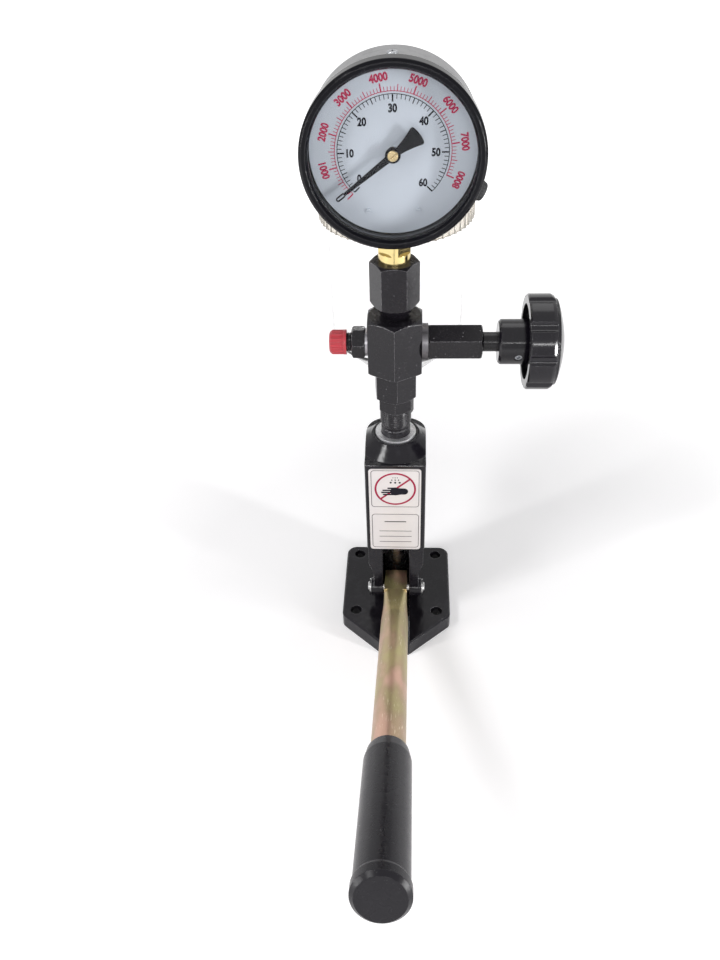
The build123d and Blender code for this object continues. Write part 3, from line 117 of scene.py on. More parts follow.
class Shader:
    """The node tree of a material or a world, filled call by call.

    Args:
        owner: The material or the world.
    """

    def __init__(self, owner: bpy.types.Material | bpy.types.World) -> None:
        owner.use_nodes = True
        self.owner = owner
        self.tree = owner.node_tree
        self.tree.nodes.clear()

    def node(
        self, kind: str, inputs: dict | None = None, output: int | str = 0, **settings: str | int
    ) -> Signal:
        """Add one node.

        Args:
            kind: The node's type.
            inputs: Values or signals of its sockets, by name or index.
            output: The output socket that is wanted.
            settings: The node's own properties.

        Returns:
            The signal on that output.
        """
        made = self.tree.nodes.new(kind)
        for key, value in settings.items():
            setattr(made, key, value)
        for key, value in (inputs or {}).items():
            if isinstance(value, Signal):
                self.tree.links.new(value.socket, made.inputs[key])
            elif value is not None:
                made.inputs[key].default_value = value
        return Signal(self, made.outputs[output] if made.outputs else None)

    def math(self, operation: str, *values: Signal | float) -> Signal:
        """One Math node on one or two values."""
        return self.node("ShaderNodeMath", dict(enumerate(values)), operation=operation)

    def vectors(self, operation: str, *values: Signal | Point, output: str = "Vector") -> Signal:
        """One Vector Math node on one or two values."""
        inputs = dict(enumerate(values))
        return self.node("ShaderNodeVectorMath", inputs, output, operation=operation)

    def place(self) -> Signal:
        """Object coordinates."""
        return self.node("ShaderNodeTexCoord", output="Object")

    def turned(self, where: Signal, turn: Point) -> Signal:
        """Coordinates turned by angles about X, Y and Z, in radians."""
        return self.node("ShaderNodeMapping", {"Vector": where, "Rotation": turn})

    def stretched(self, where: Signal, factors: Point) -> Signal:
        """Coordinates scaled along X, Y and Z."""
        return self.vectors("MULTIPLY", where, factors)

    def noise(self, where: Signal, size: float, detail: float = 2.0, roughness: float = 0.5) -> Signal:
        """Noise whose lumps have a given size in metres, from 0 to 1 about 0.5."""
        inputs = {"Vector": where, "Scale": 1.0 / size, "Detail": detail, "Roughness": roughness}
        return self.node("ShaderNodeTexNoise", inputs)

    def cells(self, where: Signal, size: float) -> Signal:
        """Distance to the nearest of scattered points, in shares of their spacing."""
        return self.node("ShaderNodeTexVoronoi", {"Vector": where, "Scale": 1.0 / size}, "Distance")

    def band(self, value: Signal, low: float, high: float) -> Signal:
        """The value rescaled so that low is 0 and high is 1, kept between them."""
        inputs = {0: value, 1: low, 2: high, 3: 0.0, 4: 1.0}
        return self.node("ShaderNodeMapRange", inputs, clamp=True)

    def patches(
        self, where: Signal, size: float, cut: Span, detail: float = 2.0, roughness: float = 0.5
    ) -> Signal:
        """Noise cut to patches: 0 at the cut's first level and below, 1 at its second and above."""
        return self.band(self.noise(where, size, detail, roughness), *cut)

    @staticmethod
    def around(mean: float, *swings: tuple[Signal, float]) -> Signal:
        """A value that noises move about its mean, each by up to half of its own amount."""
        total = mean - sum(amount for _, amount in swings) / 2
        for noise, amount in swings:
            total = noise * amount + total
        return total

    def blend(self, factor: Signal | float, first: Signal | Colour, second: Signal | Colour) -> Signal:
        """Mix of two colours."""
        ends = [end if isinstance(end, Signal) else (*end, 1.0) for end in (first, second)]
        inputs = {0: factor, 6: ends[0], 7: ends[1]}
        return self.node("ShaderNodeMix", inputs, output=2, data_type="RGBA")

    def ramp(self, factor: Signal, stops: list[tuple[float, Colour]]) -> Signal:
        """Colour ramp over a value, through colours at given positions."""
        colour = self.node("ShaderNodeValToRGB", {"Fac": factor})
        elements = colour.socket.node.color_ramp.elements
        while len(elements) < len(stops):
            elements.new(0.5)
        for element, (position, stop) in zip(elements, stops):
            element.position = position
            element.color = (*stop, 1.0)
        return colour

    def rounded(self, radius: float) -> Signal:
        """Surface normal with sharp edges rounded over a radius in metres."""
        return self.node("ShaderNodeBevel", {"Radius": radius}, samples=6)

    def edge(self, normal: Signal) -> Signal:
        """How far a rounded normal leans from the true one: 0 on flats, towards 1 on edges."""
        flat = self.node("ShaderNodeNewGeometry", output="Normal")
        return 1.0 - self.vectors("DOT_PRODUCT", normal, flat, output="Value")

    def bump(self, height: Signal, depth: float, normal: Signal | None = None) -> Signal:
        """Normal bent by a height from 0 to 1 that stands for a depth in metres."""
        inputs = {"Height": height, "Distance": depth, "Strength": 1.0, "Normal": normal}
        return self.node("ShaderNodeBump", inputs)

    def principled(self, **sockets: Signal | float | Colour) -> Signal:
        """Principled shader with some of its sockets set. Their names have _ for a space."""
        inputs = {}
        for key, value in sockets.items():
            is_colour = isinstance(value, tuple)
            inputs[key.replace("_", " ")] = (*value, 1.0) if is_colour else value
        return self.node("ShaderNodeBsdfPrincipled", inputs)

    def background_ray(self) -> Signal:
        """1 for the rays that show a background: from the camera, off gloss and through glass."""
        seen, gloss, through = (
            self.node("ShaderNodeLightPath", output=f"Is {kind} Ray")
            for kind in ("Camera", "Glossy", "Transmission")
        )
        return seen.higher(gloss).higher(through)

    def finished(self, surface: Signal) -> bpy.types.Material:
        """Wire a surface to the output and hand the material over."""
        self.node("ShaderNodeOutputMaterial", {"Surface": surface})
        return self.owner


def shaded(colour: Colour, factor: float) -> Colour:
    """A colour made darker by a factor."""
    return tuple(channel * factor for channel in colour)


@dataclass(frozen=True)
class Finish:
    """What every finish has.

    Args:
        name: The material's name.
        colour: Its main colour, linear.
    """

    name: str
    colour: Colour

    def build(self) -> bpy.types.Material:
        """Make the material."""
        shader = Shader(bpy.data.materials.new(self.name))
        return shader.finished(self.surface(shader, shader.place()))

    def surface(self, shader: Shader, where: Signal) -> Signal:
        """Fill the shader.

        Args:
            shader: The material's shader.
            where: The object's coordinates.

        Returns:
            The surface for the output.
        """
        raise NotImplementedError


@dataclass(frozen=True)
class ChippedEnamel(Finish):
    """Black enamel on a sand casting: orange peel, soft lumps, chipped edges and some dust."""

    chip_colour: Colour = (0.62, 0.62, 0.64)
    dust_colour: Colour = (0.09, 0.09, 0.10)
    roughness: float = 0.13
    edge_radius: float = 1.1 * MM
    relief: float = 0.28 * MM
    peel_size: float = 0.9 * MM
    lump_size: float = 7.0 * MM
    grit_size: float = 0.25 * MM
    speck_size: float = 1.3 * MM
    chip_spacing: float = 16.0 * MM

    def surface(self, shader: Shader, where: Signal) -> Signal:
        """Enamel, and metal where it is chipped."""
        peel = shader.noise(where, self.peel_size, detail=3.0)
        lumps = shader.noise(where, self.lump_size)
        grit = shader.noise(where, self.grit_size, detail=1.0)
        speck = shader.noise(where, self.speck_size, detail=4.0, roughness=0.7)
        sparse = shader.patches(where, self.chip_spacing, (0.50, 0.60), detail=1.0)
        round_normal = shader.rounded(self.edge_radius)
        edge = shader.edge(round_normal)
        chips = shader.band(edge * 2.0 + speck, 0.98, 1.03) * sparse
        worn = shader.band(edge, 0.03, 0.30)
        dusty = shader.band(lumps + grit * 0.3, 0.66, 0.95)
        paint = shader.blend(dusty * 0.10 + worn * 0.40, self.colour, self.dust_colour)
        height = lumps * 0.5 + peel * 0.07 + grit * 0.01
        return shader.principled(
            Base_Color=shader.blend(chips, paint, self.chip_colour),
            Roughness=shader.around(self.roughness, (lumps, 0.10), (grit, 0.04)) + chips * 0.2,
            Metallic=chips,
            Specular_IOR_Level=0.25,
            Normal=shader.bump(height, self.relief, round_normal),
        )


@dataclass(frozen=True)
class BlackedSteel(Finish):
    """Black oxide on machined steel: fine tool marks, dents, scratches and brighter edges, partly
    rubbed steel and partly a painted highlight all along them.
    """

    # Colour of rubbed steel, also used for the painted highlight along every edge.
    edge_colour: Colour = (0.58, 0.57, 0.60)
    roughness: float = 0.26
    edge_radius: float = 0.55 * MM
    relief: float = 0.10 * MM
    grain: Axis = Axis.Z
    mark_size: float = 1.2 * MM
    stain_size: float = 9.0 * MM
    speck_size: float = 0.8 * MM
    scratch_size: float = 3.0 * MM
    scratch_turn: Point = (0.35, 0.2, 0.6)
    dent_spacing: float = 5.5 * MM

    def surface(self, shader: Shader, where: Signal) -> Signal:
        """Oxide, and steel where it is rubbed, scratched or dented, with every edge a little paler as
        a painted highlight.
        """
        marks = shader.noise(shader.stretched(where, self.grain.factors(6.0, 0.5)), self.mark_size)
        stain = shader.noise(where, self.stain_size, detail=3.0)
        round_normal = shader.rounded(self.edge_radius)
        edge = shader.band(shader.edge(round_normal), 0.02, 0.28)
        streaks = shader.stretched(shader.turned(where, self.scratch_turn), (9.0, 0.45, 9.0))
        scratches = shader.patches(streaks, self.scratch_size, (0.735, 0.76), detail=1.0)
        dents = shader.band(shader.cells(where, self.dent_spacing), 0.075, 0.03)
        rubbed = shader.patches(where, self.speck_size, (0.42, 0.56), detail=3.0, roughness=0.7) * edge
        # Paler where rubbed, scratched or dented (wear), and paler along every edge by a fixed share
        # (painted highlight).
        bright = (rubbed * 0.9 + edge * 0.15 + scratches * 0.22 + dents * 0.35).clamped()
        height = marks * 0.05 + stain * 0.25 - dents * 0.5 - scratches * 0.2
        return shader.principled(
            Base_Color=shader.blend(bright, self.colour, self.edge_colour),
            Roughness=shader.around(self.roughness, (stain, 0.22), (marks, 0.08)),
            Metallic=bright * 0.7,
            Specular_IOR_Level=0.30,
            Normal=shader.bump(height, self.relief, round_normal),
        )


@dataclass(frozen=True)
class BareMetal(Finish):
    """Turned or drawn metal: tool rings along an axis, tarnish and soft bright edges."""

    tarnish: Colour
    roughness: float = 0.26
    ring_size: float = 0.22 * MM
    grain: Axis = Axis.Z
    speckle: float = 0.0
    stain_size: float = 5.0 * MM
    speck_size: float = 0.6 * MM

    def surface(self, shader: Shader, where: Signal) -> Signal:
        """Tool rings, and duller stains."""
        rings = shader.noise(shader.stretched(where, self.grain.factors(1.0, 0.04)), self.ring_size)
        stain = shader.patches(where, self.stain_size, (0.5, 0.8), detail=3.0)
        speck = shader.patches(where, self.speck_size, (0.52, 0.66), detail=3.0, roughness=0.65)
        round_normal = shader.rounded(0.25 * MM)
        edge = shader.band(shader.edge(round_normal), 0.02, 0.3)
        dull = (stain * 0.5 + speck * self.speckle - edge * 0.4).clamped()
        return shader.principled(
            Base_Color=shader.blend(dull, self.colour, self.tarnish),
            Roughness=shader.around(self.roughness, (rings, 0.12)) + dull * 0.2,
            Metallic=1.0,
            Normal=shader.bump(rings, 0.015 * MM, round_normal),
        )


@dataclass(frozen=True)
class YellowZinc(Finish):
    """Yellow passivated zinc on a forged tube: pink, tan and olive clouds, scratches and pits, and
    bright flecks that are painted glints.
    """

    slope: float
    pink: Colour = (0.58, 0.35, 0.26)
    olive: Colour = (0.44, 0.38, 0.17)
    grime: Colour = (0.27, 0.21, 0.13)
    scratch_colour: Colour = (0.09, 0.07, 0.05)
    # Colour of the painted glints: bright flecks painted into the colour.
    glint_colour: Colour = (0.85, 0.76, 0.55)
    roughness: float = 0.36
    cloud_size: float = 17.0 * MM
    drift_size: float = 34.0 * MM
    grain_size: float = 0.5 * MM
    zone_size: float = 24.0 * MM
    scratch_size: float = 0.7 * MM

    def surface(self, shader: Shader, where: Signal) -> Signal:
        """Clouds along the tube's slope, and zones of scratches with painted glints among them."""
        where = shader.turned(where, (self.slope, 0.0, 0.0))
        long = shader.stretched(where, (1.0, 0.35, 1.0))
        clouds = shader.noise(long, self.cloud_size, detail=3.0)
        drift = shader.patches(long, self.drift_size, (0.42, 0.66), detail=1.0)
        grain = shader.noise(shader.stretched(where, (1.0, 0.06, 1.0)), self.grain_size)
        zones = shader.patches(where, self.zone_size, (0.46, 0.56), detail=1.0)
        marks = shader.patches(where, self.scratch_size, (0.63, 0.67), detail=4.0, roughness=0.8)
        scratches = marks * zones
        # Bright flecks along the grain in the scratched zones: painted glints.
        painted_glints = shader.band(grain, 0.63, 0.71) * zones
        colour = shader.ramp(clouds, [(0.36, self.pink), (0.50, self.colour), (0.62, self.olive)])
        colour = shader.blend(drift * 0.45, colour, self.grime)
        colour = shader.blend(scratches * 0.8, colour, self.scratch_colour)
        colour = shader.blend(painted_glints * 0.7, colour, self.glint_colour)
        height = grain * 0.3 + clouds * 0.5 - scratches
        return shader.principled(
            Base_Color=colour,
            Roughness=shader.around(self.roughness, (clouds, 0.24)) + scratches * 0.2,
            Metallic=0.82,
            Normal=shader.bump(height, 0.06 * MM, shader.rounded(0.5 * MM)),
        )


@dataclass(frozen=True)
class Moulded(Finish):
    """Moulded plastic, rubber or lacquer: a fine skin, faint flow clouds, rubbed edges and dust."""

    rub_colour: Colour = (0.12, 0.12, 0.13)
    roughness: float = 0.3
    skin: float = 0.04 * MM
    edge_radius: float = 0.5 * MM
    coat: float = 0.0
    edge_coat: float = 0.0
    gloss: float = 0.40
    skin_size: float = 0.45 * MM
    cloud_size: float = 8.0 * MM
    scuff_size: float = 2.2 * MM

    def surface(self, shader: Shader, where: Signal) -> Signal:
        """Skin that is paler and glossier on its edges."""
        skin = shader.noise(where, self.skin_size)
        clouds = shader.noise(where, self.cloud_size)
        round_normal = shader.rounded(self.edge_radius)
        edge = shader.band(shader.edge(round_normal), 0.03, 0.35)
        scuff = shader.patches(where, self.scuff_size, (0.60, 0.74), detail=4.0, roughness=0.75)
        rub = (edge * 0.35 + scuff * 0.18).clamped()
        return shader.principled(
            Base_Color=shader.blend(rub, self.colour, self.rub_colour),
            Roughness=shader.around(self.roughness, (clouds, 0.14)) + scuff * 0.10,
            Specular_IOR_Level=self.gloss,
            Coat_Weight=(edge * self.edge_coat + self.coat).clamped(),
            Coat_Roughness=0.06,
            Normal=shader.bump(skin * 0.5 + clouds, self.skin, round_normal),
        )


@dataclass(frozen=True)
class Clear(Finish):
    """Clear plastic or glass that refracts, with faint haze and handling marks."""

    roughness: float = 0.03
    index: float = 1.49

    def surface(self, shader: Shader, where: Signal) -> Signal:
        """Clear body with haze and smears."""
        haze = shader.noise(where, 12.0 * MM, detail=3.0)
        smears = shader.patches(where, 3.0 * MM, (0.55, 0.8), detail=4.0, roughness=0.7)
        return shader.principled(
            Base_Color=self.colour,
            Roughness=haze * 0.05 + smears * 0.08 + self.roughness,
            IOR=self.index,
            Transmission_Weight=1.0,
            Normal=shader.bump(haze, 0.05 * MM),
        )


@dataclass(frozen=True)
class Window(Finish):
    """Thin flat glass: it lets the dial show straight through and only adds its reflection.

    Light that leaves by a back face meets the same index as light that enters, so none is held in.
    """

    index: float = 1.5

    def surface(self, shader: Shader, where: Signal) -> Signal:
        """See-through face and mirror, mixed by the angle of view."""
        smears = shader.patches(where, 9.0 * MM, (0.50, 0.85), detail=4.0, roughness=0.7)
        shine = shader.principled(Base_Color=self.colour, Roughness=smears * 0.06 + 0.02, Metallic=1.0)
        through = shader.node("ShaderNodeBsdfTransparent")
        leaving = shader.node("ShaderNodeNewGeometry", output="Backfacing")
        index = leaving * (1.0 / self.index - self.index) + self.index
        mirror = shader.node("ShaderNodeFresnel", {"IOR": index}) + smears * 0.01
        return shader.node("ShaderNodeMixShader", {0: mirror, 1: through, 2: shine})


@dataclass(frozen=True)
class Printed(Finish):
    """Painted sheet or printed ink: an even colour with a faint mottle."""

    roughness: float = 0.45
    mottle: float = 0.06
    sheen: float = 0.5

    def surface(self, shader: Shader, where: Signal) -> Signal:
        """Even coat with a fine grain."""
        cloud = shader.noise(where, 6.0 * MM, detail=3.0)
        grain = shader.noise(where, 0.3 * MM, detail=1.0)
        darker = shaded(self.colour, 1.0 - 2.0 * self.mottle)
        return shader.principled(
            Base_Color=shader.blend(cloud, self.colour, darker),
            Roughness=shader.around(self.roughness, (grain, 0.1)),
            Specular_IOR_Level=self.sheen,
            Normal=shader.bump(grain, 0.004 * MM),
        )


@dataclass(frozen=True)
class BrushedPlate(Finish):
    """Silvered label stock: a fine brushed grain under a satin film."""

    roughness: float = 0.38

    def surface(self, shader: Shader, where: Signal) -> Signal:
        """Foil whose grain runs along X."""
        grain = shader.noise(shader.stretched(where, (0.03, 1.0, 1.0)), 0.18 * MM)
        cloud = shader.noise(where, 11.0 * MM)
        return shader.principled(
            Base_Color=shader.blend(grain * 0.6 + cloud * 0.4, self.colour, shaded(self.colour, 0.90)),
            Roughness=shader.around(self.roughness, (grain, 0.14)),
            Metallic=0.25,
            Normal=shader.bump(grain, 0.006 * MM, shader.rounded(0.2 * MM)),
        )


@dataclass(frozen=True)
class Packing(Finish):
    """Braided packing: crossed strands, darker in the grooves between them as painted shade."""

    wave_scale: float = 260.0

    def surface(self, shader: Shader, where: Signal) -> Signal:
        """Two waves that lean opposite ways."""
        first, second = (
            shader.node(
                "ShaderNodeTexWave",
                {"Vector": shader.stretched(where, (side, 1.0, 1.0)), "Scale": self.wave_scale},
                bands_direction="DIAGONAL",
            )
            for side in (1.0, -1.0)
        )
        weave = first.higher(second)
        return shader.principled(
            # Darker where neither strand rises, in the grooves: painted shade.
            Base_Color=shader.blend(weave, shaded(self.colour, 0.6), self.colour),
            Roughness=0.7,
            Normal=shader.bump(weave, 0.2 * MM),
        )


LEVER_SLOPE = math.radians(24.0)

CASTING = ChippedEnamel("black_enamel", (0.009, 0.008, 0.011))
BLACK_STEEL_Z = BlackedSteel("black_steel_upright", (0.0075, 0.0065, 0.009), grain=Axis.Z)
BLACK_STEEL_X = BlackedSteel("black_steel_crosswise", (0.0075, 0.0065, 0.0085), grain=Axis.X)
BRIGHT_STEEL = BareMetal("ground_steel", (0.62, 0.62, 0.63), (0.35, 0.34, 0.34))
PIN_STEEL = BareMetal("pin_steel", (0.42, 0.42, 0.42), (0.24, 0.23, 0.22), grain=Axis.X)
SPRING_STEEL = BareMetal("spring_steel", (0.36, 0.37, 0.39), (0.22, 0.22, 0.24))
RING_STEEL = BareMetal(
    "cast_ring", (0.72, 0.72, 0.74), (0.28, 0.28, 0.28), roughness=0.42, speckle=0.9
)
CASE_STEEL = BareMetal(
    "case_steel", (0.25, 0.25, 0.255), (0.175, 0.175, 0.18),
    roughness=0.34, ring_size=0.5 * MM, grain=Axis.Y,
)
BRASS = BareMetal("brass", (0.61, 0.49, 0.225), (0.28, 0.21, 0.09), roughness=0.15)
CAP_BRASS = BareMetal("pointer_cap_brass", (0.50, 0.40, 0.22), (0.30, 0.23, 0.13), grain=Axis.Y)
ALUMINIUM = BareMetal(
    "aluminium_washer", (0.32, 0.31, 0.33), (0.15, 0.15, 0.15), roughness=0.34, grain=Axis.X
)
# Darker copy of the washer aluminium for the shut-off washer, which sits in the shade between valve
# block and shut-off hex: painted shade.
PAINTED_SHADE_ALUMINIUM = BareMetal(
    "painted_shade_washer", (0.15, 0.145, 0.155), (0.05, 0.05, 0.05),
    roughness=0.36, grain=Axis.X, speckle=0.5,
)
LEVER_ZINC = YellowZinc("yellow_zinc", (0.41, 0.30, 0.17), slope=LEVER_SLOPE)
KNOB_PLASTIC = Moulded(
    "knob_plastic", (0.006, 0.005, 0.008),
    roughness=0.13, skin=0.012 * MM, edge_radius=1.0 * MM, edge_coat=1.0, gloss=0.34,
)
GRIP_PLASTIC = Moulded(
    "grip_plastic", (0.008, 0.007, 0.010), roughness=0.27, skin=0.05 * MM, gloss=0.22
)
BEZEL_LACQUER = Moulded(
    "bezel_lacquer", (0.004, 0.004, 0.006),
    roughness=0.10, skin=0.001 * MM, edge_radius=1.3 * MM, edge_coat=1.0, gloss=0.10,
)
CAP_PLASTIC = Moulded(
    "cap_plastic", (0.42, 0.028, 0.042), rub_colour=(0.60, 0.16, 0.18), roughness=0.32, coat=0.2
)
SEAL_RUBBER = Moulded("seal_rubber", (0.014, 0.014, 0.015), roughness=0.62, skin=0.10 * MM)
PLUG_RUBBER = Moulded("plug_rubber", (0.022, 0.022, 0.024), roughness=0.58, skin=0.12 * MM)
POINTER_PAINT = Printed("pointer_paint", (0.006, 0.006, 0.008), roughness=0.42, sheen=0.12)
DIAL_PAINT = Printed("dial_paint", (0.53, 0.58, 0.65), roughness=0.5, mottle=0.02)
BLACK_INK = Printed("black_ink", (0.010, 0.010, 0.016), roughness=0.5, sheen=0.10)
RED_INK = Printed("red_ink", (0.50, 0.035, 0.10), roughness=0.5, sheen=0.15)
SIGN_RED = Printed("sign_red", (0.33, 0.014, 0.055), roughness=0.4, sheen=0.2)
GREY_INK = Printed("grey_ink", (0.06, 0.055, 0.06), roughness=0.5)
LABEL_FOIL = BrushedPlate("label_foil", (0.70, 0.665, 0.665))
JAR_PLASTIC = Clear("jar_plastic", (0.985, 0.985, 0.985))
LID_PLASTIC = Clear("lid_plastic", (0.66, 0.62, 0.55), roughness=0.06)
GAUGE_WINDOW = Window("gauge_window", (0.16, 0.165, 0.175))
GLAND_PACKING = Packing("gland_packing", (0.72, 0.70, 0.64))

NODE_FINISHES: dict[Finish, tuple[str, ...]] = {
    CASTING: ("pump_housing",),
    BLACK_STEEL_Z: ("pressure_union", "lock_nut", "valve_block", "gauge_adapter"),
    BLACK_STEEL_X: ("shutoff_housing", "gland_bush", "outlet_fitting", "valve_spindle"),
    BRIGHT_STEEL: (
        "pump_barrel", "plunger", "tappet", "spring_seat", "valve_seat", "delivery_valve",
        "dial_posts", "pinion_arbor",
    ),
    PIN_STEEL: ("pivot_pin", "tappet_pin", "pivot_clips", "valve_needle", "drill_plug", "jar_bolt"),
    RING_STEEL: ("union_ring",),
    SPRING_STEEL: ("return_spring", "delivery_spring", "knob_set_screw", "case_screw"),
    BRASS: (
        "gauge_socket", "movement_plates", "sector_gear", "movement_link", "bourdon_tube", "strainer",
    ),
    CAP_BRASS: ("pointer_cap",),
    ALUMINIUM: ("outlet_washer",),
    # Painted shade: the shut-off washer takes the darker copy of the washer aluminium.
    PAINTED_SHADE_ALUMINIUM: ("shutoff_washer",),
    CASE_STEEL: ("gauge_case",),
    LEVER_ZINC: ("lever_bar",),
    KNOB_PLASTIC: ("valve_knob",),
    GRIP_PLASTIC: ("lever_grip",),
    BEZEL_LACQUER: ("gauge_bezel",),
    CAP_PLASTIC: ("outlet_cap",),
    SEAL_RUBBER: ("glass_gasket", "jar_gasket"),
    PLUG_RUBBER: ("vent_plug",),
    POINTER_PAINT: ("pointer",),
    DIAL_PAINT: ("gauge_dial", "dial_screws"),
    LABEL_FOIL: ("label_plate",),
    JAR_PLASTIC: ("oil_jar",),
    LID_PLASTIC: ("jar_lid",),
    GAUGE_WINDOW: ("gauge_glass",),
    GLAND_PACKING: ("stem_packing",),
}


class Wardrobe:
    """Makes each finish once and puts it on nodes and pieces."""

    def __init__(self) -> None:
        self.made: dict[Finish, bpy.types.Material] = {}

    def dress(self, piece: bpy.types.Object, finish: Finish) -> None:
        """Put a finish on a piece."""
        if finish not in self.made:
            self.made[finish] = finish.build()
        piece.data.materials.clear()
        piece.data.materials.append(self.made[finish])

    def dress_nodes(self) -> None:
        """Put the CAD nodes' finishes on them."""
        for finish, names in NODE_FINISHES.items():
            for name in names:
                self.dress(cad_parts[name], finish)
        log.info("built %d finishes for %d nodes", len(self.made), len(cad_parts))


class Solid:
    """Closed mesh put together from plain arrays of points and faces."""

    def __init__(self) -> None:
        self.points: list[np.ndarray] = []
        self.faces: list[list[int]] = []
        self.count = 0

    def add(self, points: np.ndarray, faces: list[list[int]]) -> None:
        """Add points and the faces between them."""
        self.points.append(points)
        self.faces += [[index + self.count for index in face] for face in faces]
        self.count += len(points)

    def sweep(self, rings: np.ndarray, closed: bool = False) -> None:
        """Skin a row of outlines.

        Each outline is a closed polygon, and quads join it to the next one. An open row gets a
        face over each end, and a closed one runs back into its first outline.

        Args:
            rings: Outlines, as an array of stations by corners by 3.
            closed: Whether the last outline joins the first.
        """
        stations, corners = rings.shape[:2]
        runs = stations if closed else stations - 1
        here, corner = np.indices((runs, corners))
        there = (here + 1) % stations
        beside = (corner + 1) % corners
        round_quad = ((here, corner), (here, beside), (there, beside), (there, corner))
        quads = np.stack([row * corners + column for row, column in round_quad], axis=-1)
        quads = quads.reshape(-1, 4).tolist()
        if not closed:
            quads.append(list(range(corners))[::-1])
            quads.append([(stations - 1) * corners + index for index in range(corners)])
        self.add(rings.reshape(-1, 3), quads)

    def piece(self, name: str, finish: Finish, wardrobe: Wardrobe, body: str) -> bpy.types.Object:
        """Make the object, dress it and let it ride.

        Args:
            name: The piece's name.
            finish: Its finish.
            wardrobe: What builds the finish.
            body: The CAD body that it moves with.

        Returns:
            The object.
        """
        mesh = bpy.data.meshes.new(name)
        mesh.from_pydata(np.concatenate(self.points).tolist(), [], self.faces)
        mesh.validate()
        made = in_scene(name, mesh)
        outwards(mesh)
        wardrobe.dress(made, finish)
        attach(made, body)
        log.info("%s: %d points, %d faces", name, len(mesh.vertices), len(mesh.polygons))
        return made


def in_scene(name: str, data: bpy.types.ID) -> bpy.types.Object:
    """New object, linked to the scene."""
    made = bpy.data.objects.new(name, data)
    bpy.context.scene.collection.objects.link(made)
    return made


def outwards(mesh: bpy.types.Mesh) -> None:
    """Turn a closed mesh's faces to point out."""
    work = bmesh.new()
    work.from_mesh(mesh)
    bmesh.ops.recalc_face_normals(work, faces=work.faces)
    work.to_mesh(mesh)
    work.free()


def shade_smooth(piece: bpy.types.Object, sharp: float) -> None:
    """Smooth the shading of a piece, but keep edges sharper than an angle in radians."""
    piece.data.polygons.foreach_set("use_smooth", np.ones(len(piece.data.polygons), bool))
    piece.data.set_sharp_from_angle(angle=sharp)


def full_turn(steps: int) -> np.ndarray:
    """Angles once round, as a column."""
    return np.linspace(0.0, 2 * math.pi, steps, endpoint=False)[:, None]


INK_THICKNESS = 0.04 * MM
LINE_SIDE = np.array([-0.5, 0.5, 0.5, -0.5])
LINE_LIFT = INK_THICKNESS * np.array([0.0, 0.0, 1.0, 1.0])


@dataclass
class FlatPrint:
    """Ink on a sheet that faces -Y.

    A printed line's section has four corners: LINE_SIDE is their place across the line, in line
    widths, and LINE_LIFT their height over the sheet.

    Args:
        surface: The sheet's Y.
        centre: X and Z of the point that the print is measured from.
    """

    surface: float
    centre: Span

    def on_sheet(self, across: np.ndarray, up: np.ndarray, lift: np.ndarray) -> np.ndarray:
        """Points over the sheet, with across to the right and up upwards."""
        across, up, lift = np.broadcast_arrays(across, up, lift)
        return np.stack([across + self.centre[0], self.surface - lift, up + self.centre[1]], axis=-1)


@dataclass(frozen=True)
class Scale:
    """One scale of the gauge: an arc, its ticks and its numbers.

    Args:
        outward: Whether the ticks stand outside the arc.
        full: The value at the end of the dial's sweep.
        ranks: Step, length and width of its ticks, the longest first.
        numbered: The values that have a number. The last one ends the scale.
        squeeze: What the width of the numbers is multiplied by.
        level: Whether they stand level, and don't turn with the scale.
    """

    name: str
    ink: Finish
    radius: float
    outward: bool
    full: float
    ranks: tuple[Point, ...]
    numbered: range
    number_radius: float
    number_height: float
    squeeze: float
    level: bool


BLACK_SCALE = Scale(
    name="dial_scale_black",
    ink=BLACK_INK,
    radius=31.6 * MM,
    outward=False,
    full=60.0,
    ranks=(
        (10, 4.1 * MM, 0.85 * MM),
        (5, 3.2 * MM, 0.55 * MM),
        (1, 2.6 * MM, 0.42 * MM),
    ),
    numbered=range(0, 61, 10),
    number_radius=24.2 * MM,
    number_height=4.9 * MM,
    squeeze=0.80,
    level=True,
)
RED_SCALE = Scale(
    name="dial_scale_red",
    ink=RED_INK,
    radius=33.1 * MM,
    outward=True,
    full=8702.0,
    ranks=(
        (1000, 4.5 * MM, 0.80 * MM),
        (500, 3.5 * MM, 0.50 * MM),
        (100, 2.4 * MM, 0.38 * MM),
    ),
    numbered=range(1000, 8001, 1000),
    number_radius=40.6 * MM,
    number_height=4.7 * MM,
    squeeze=0.86,
    level=False,
)


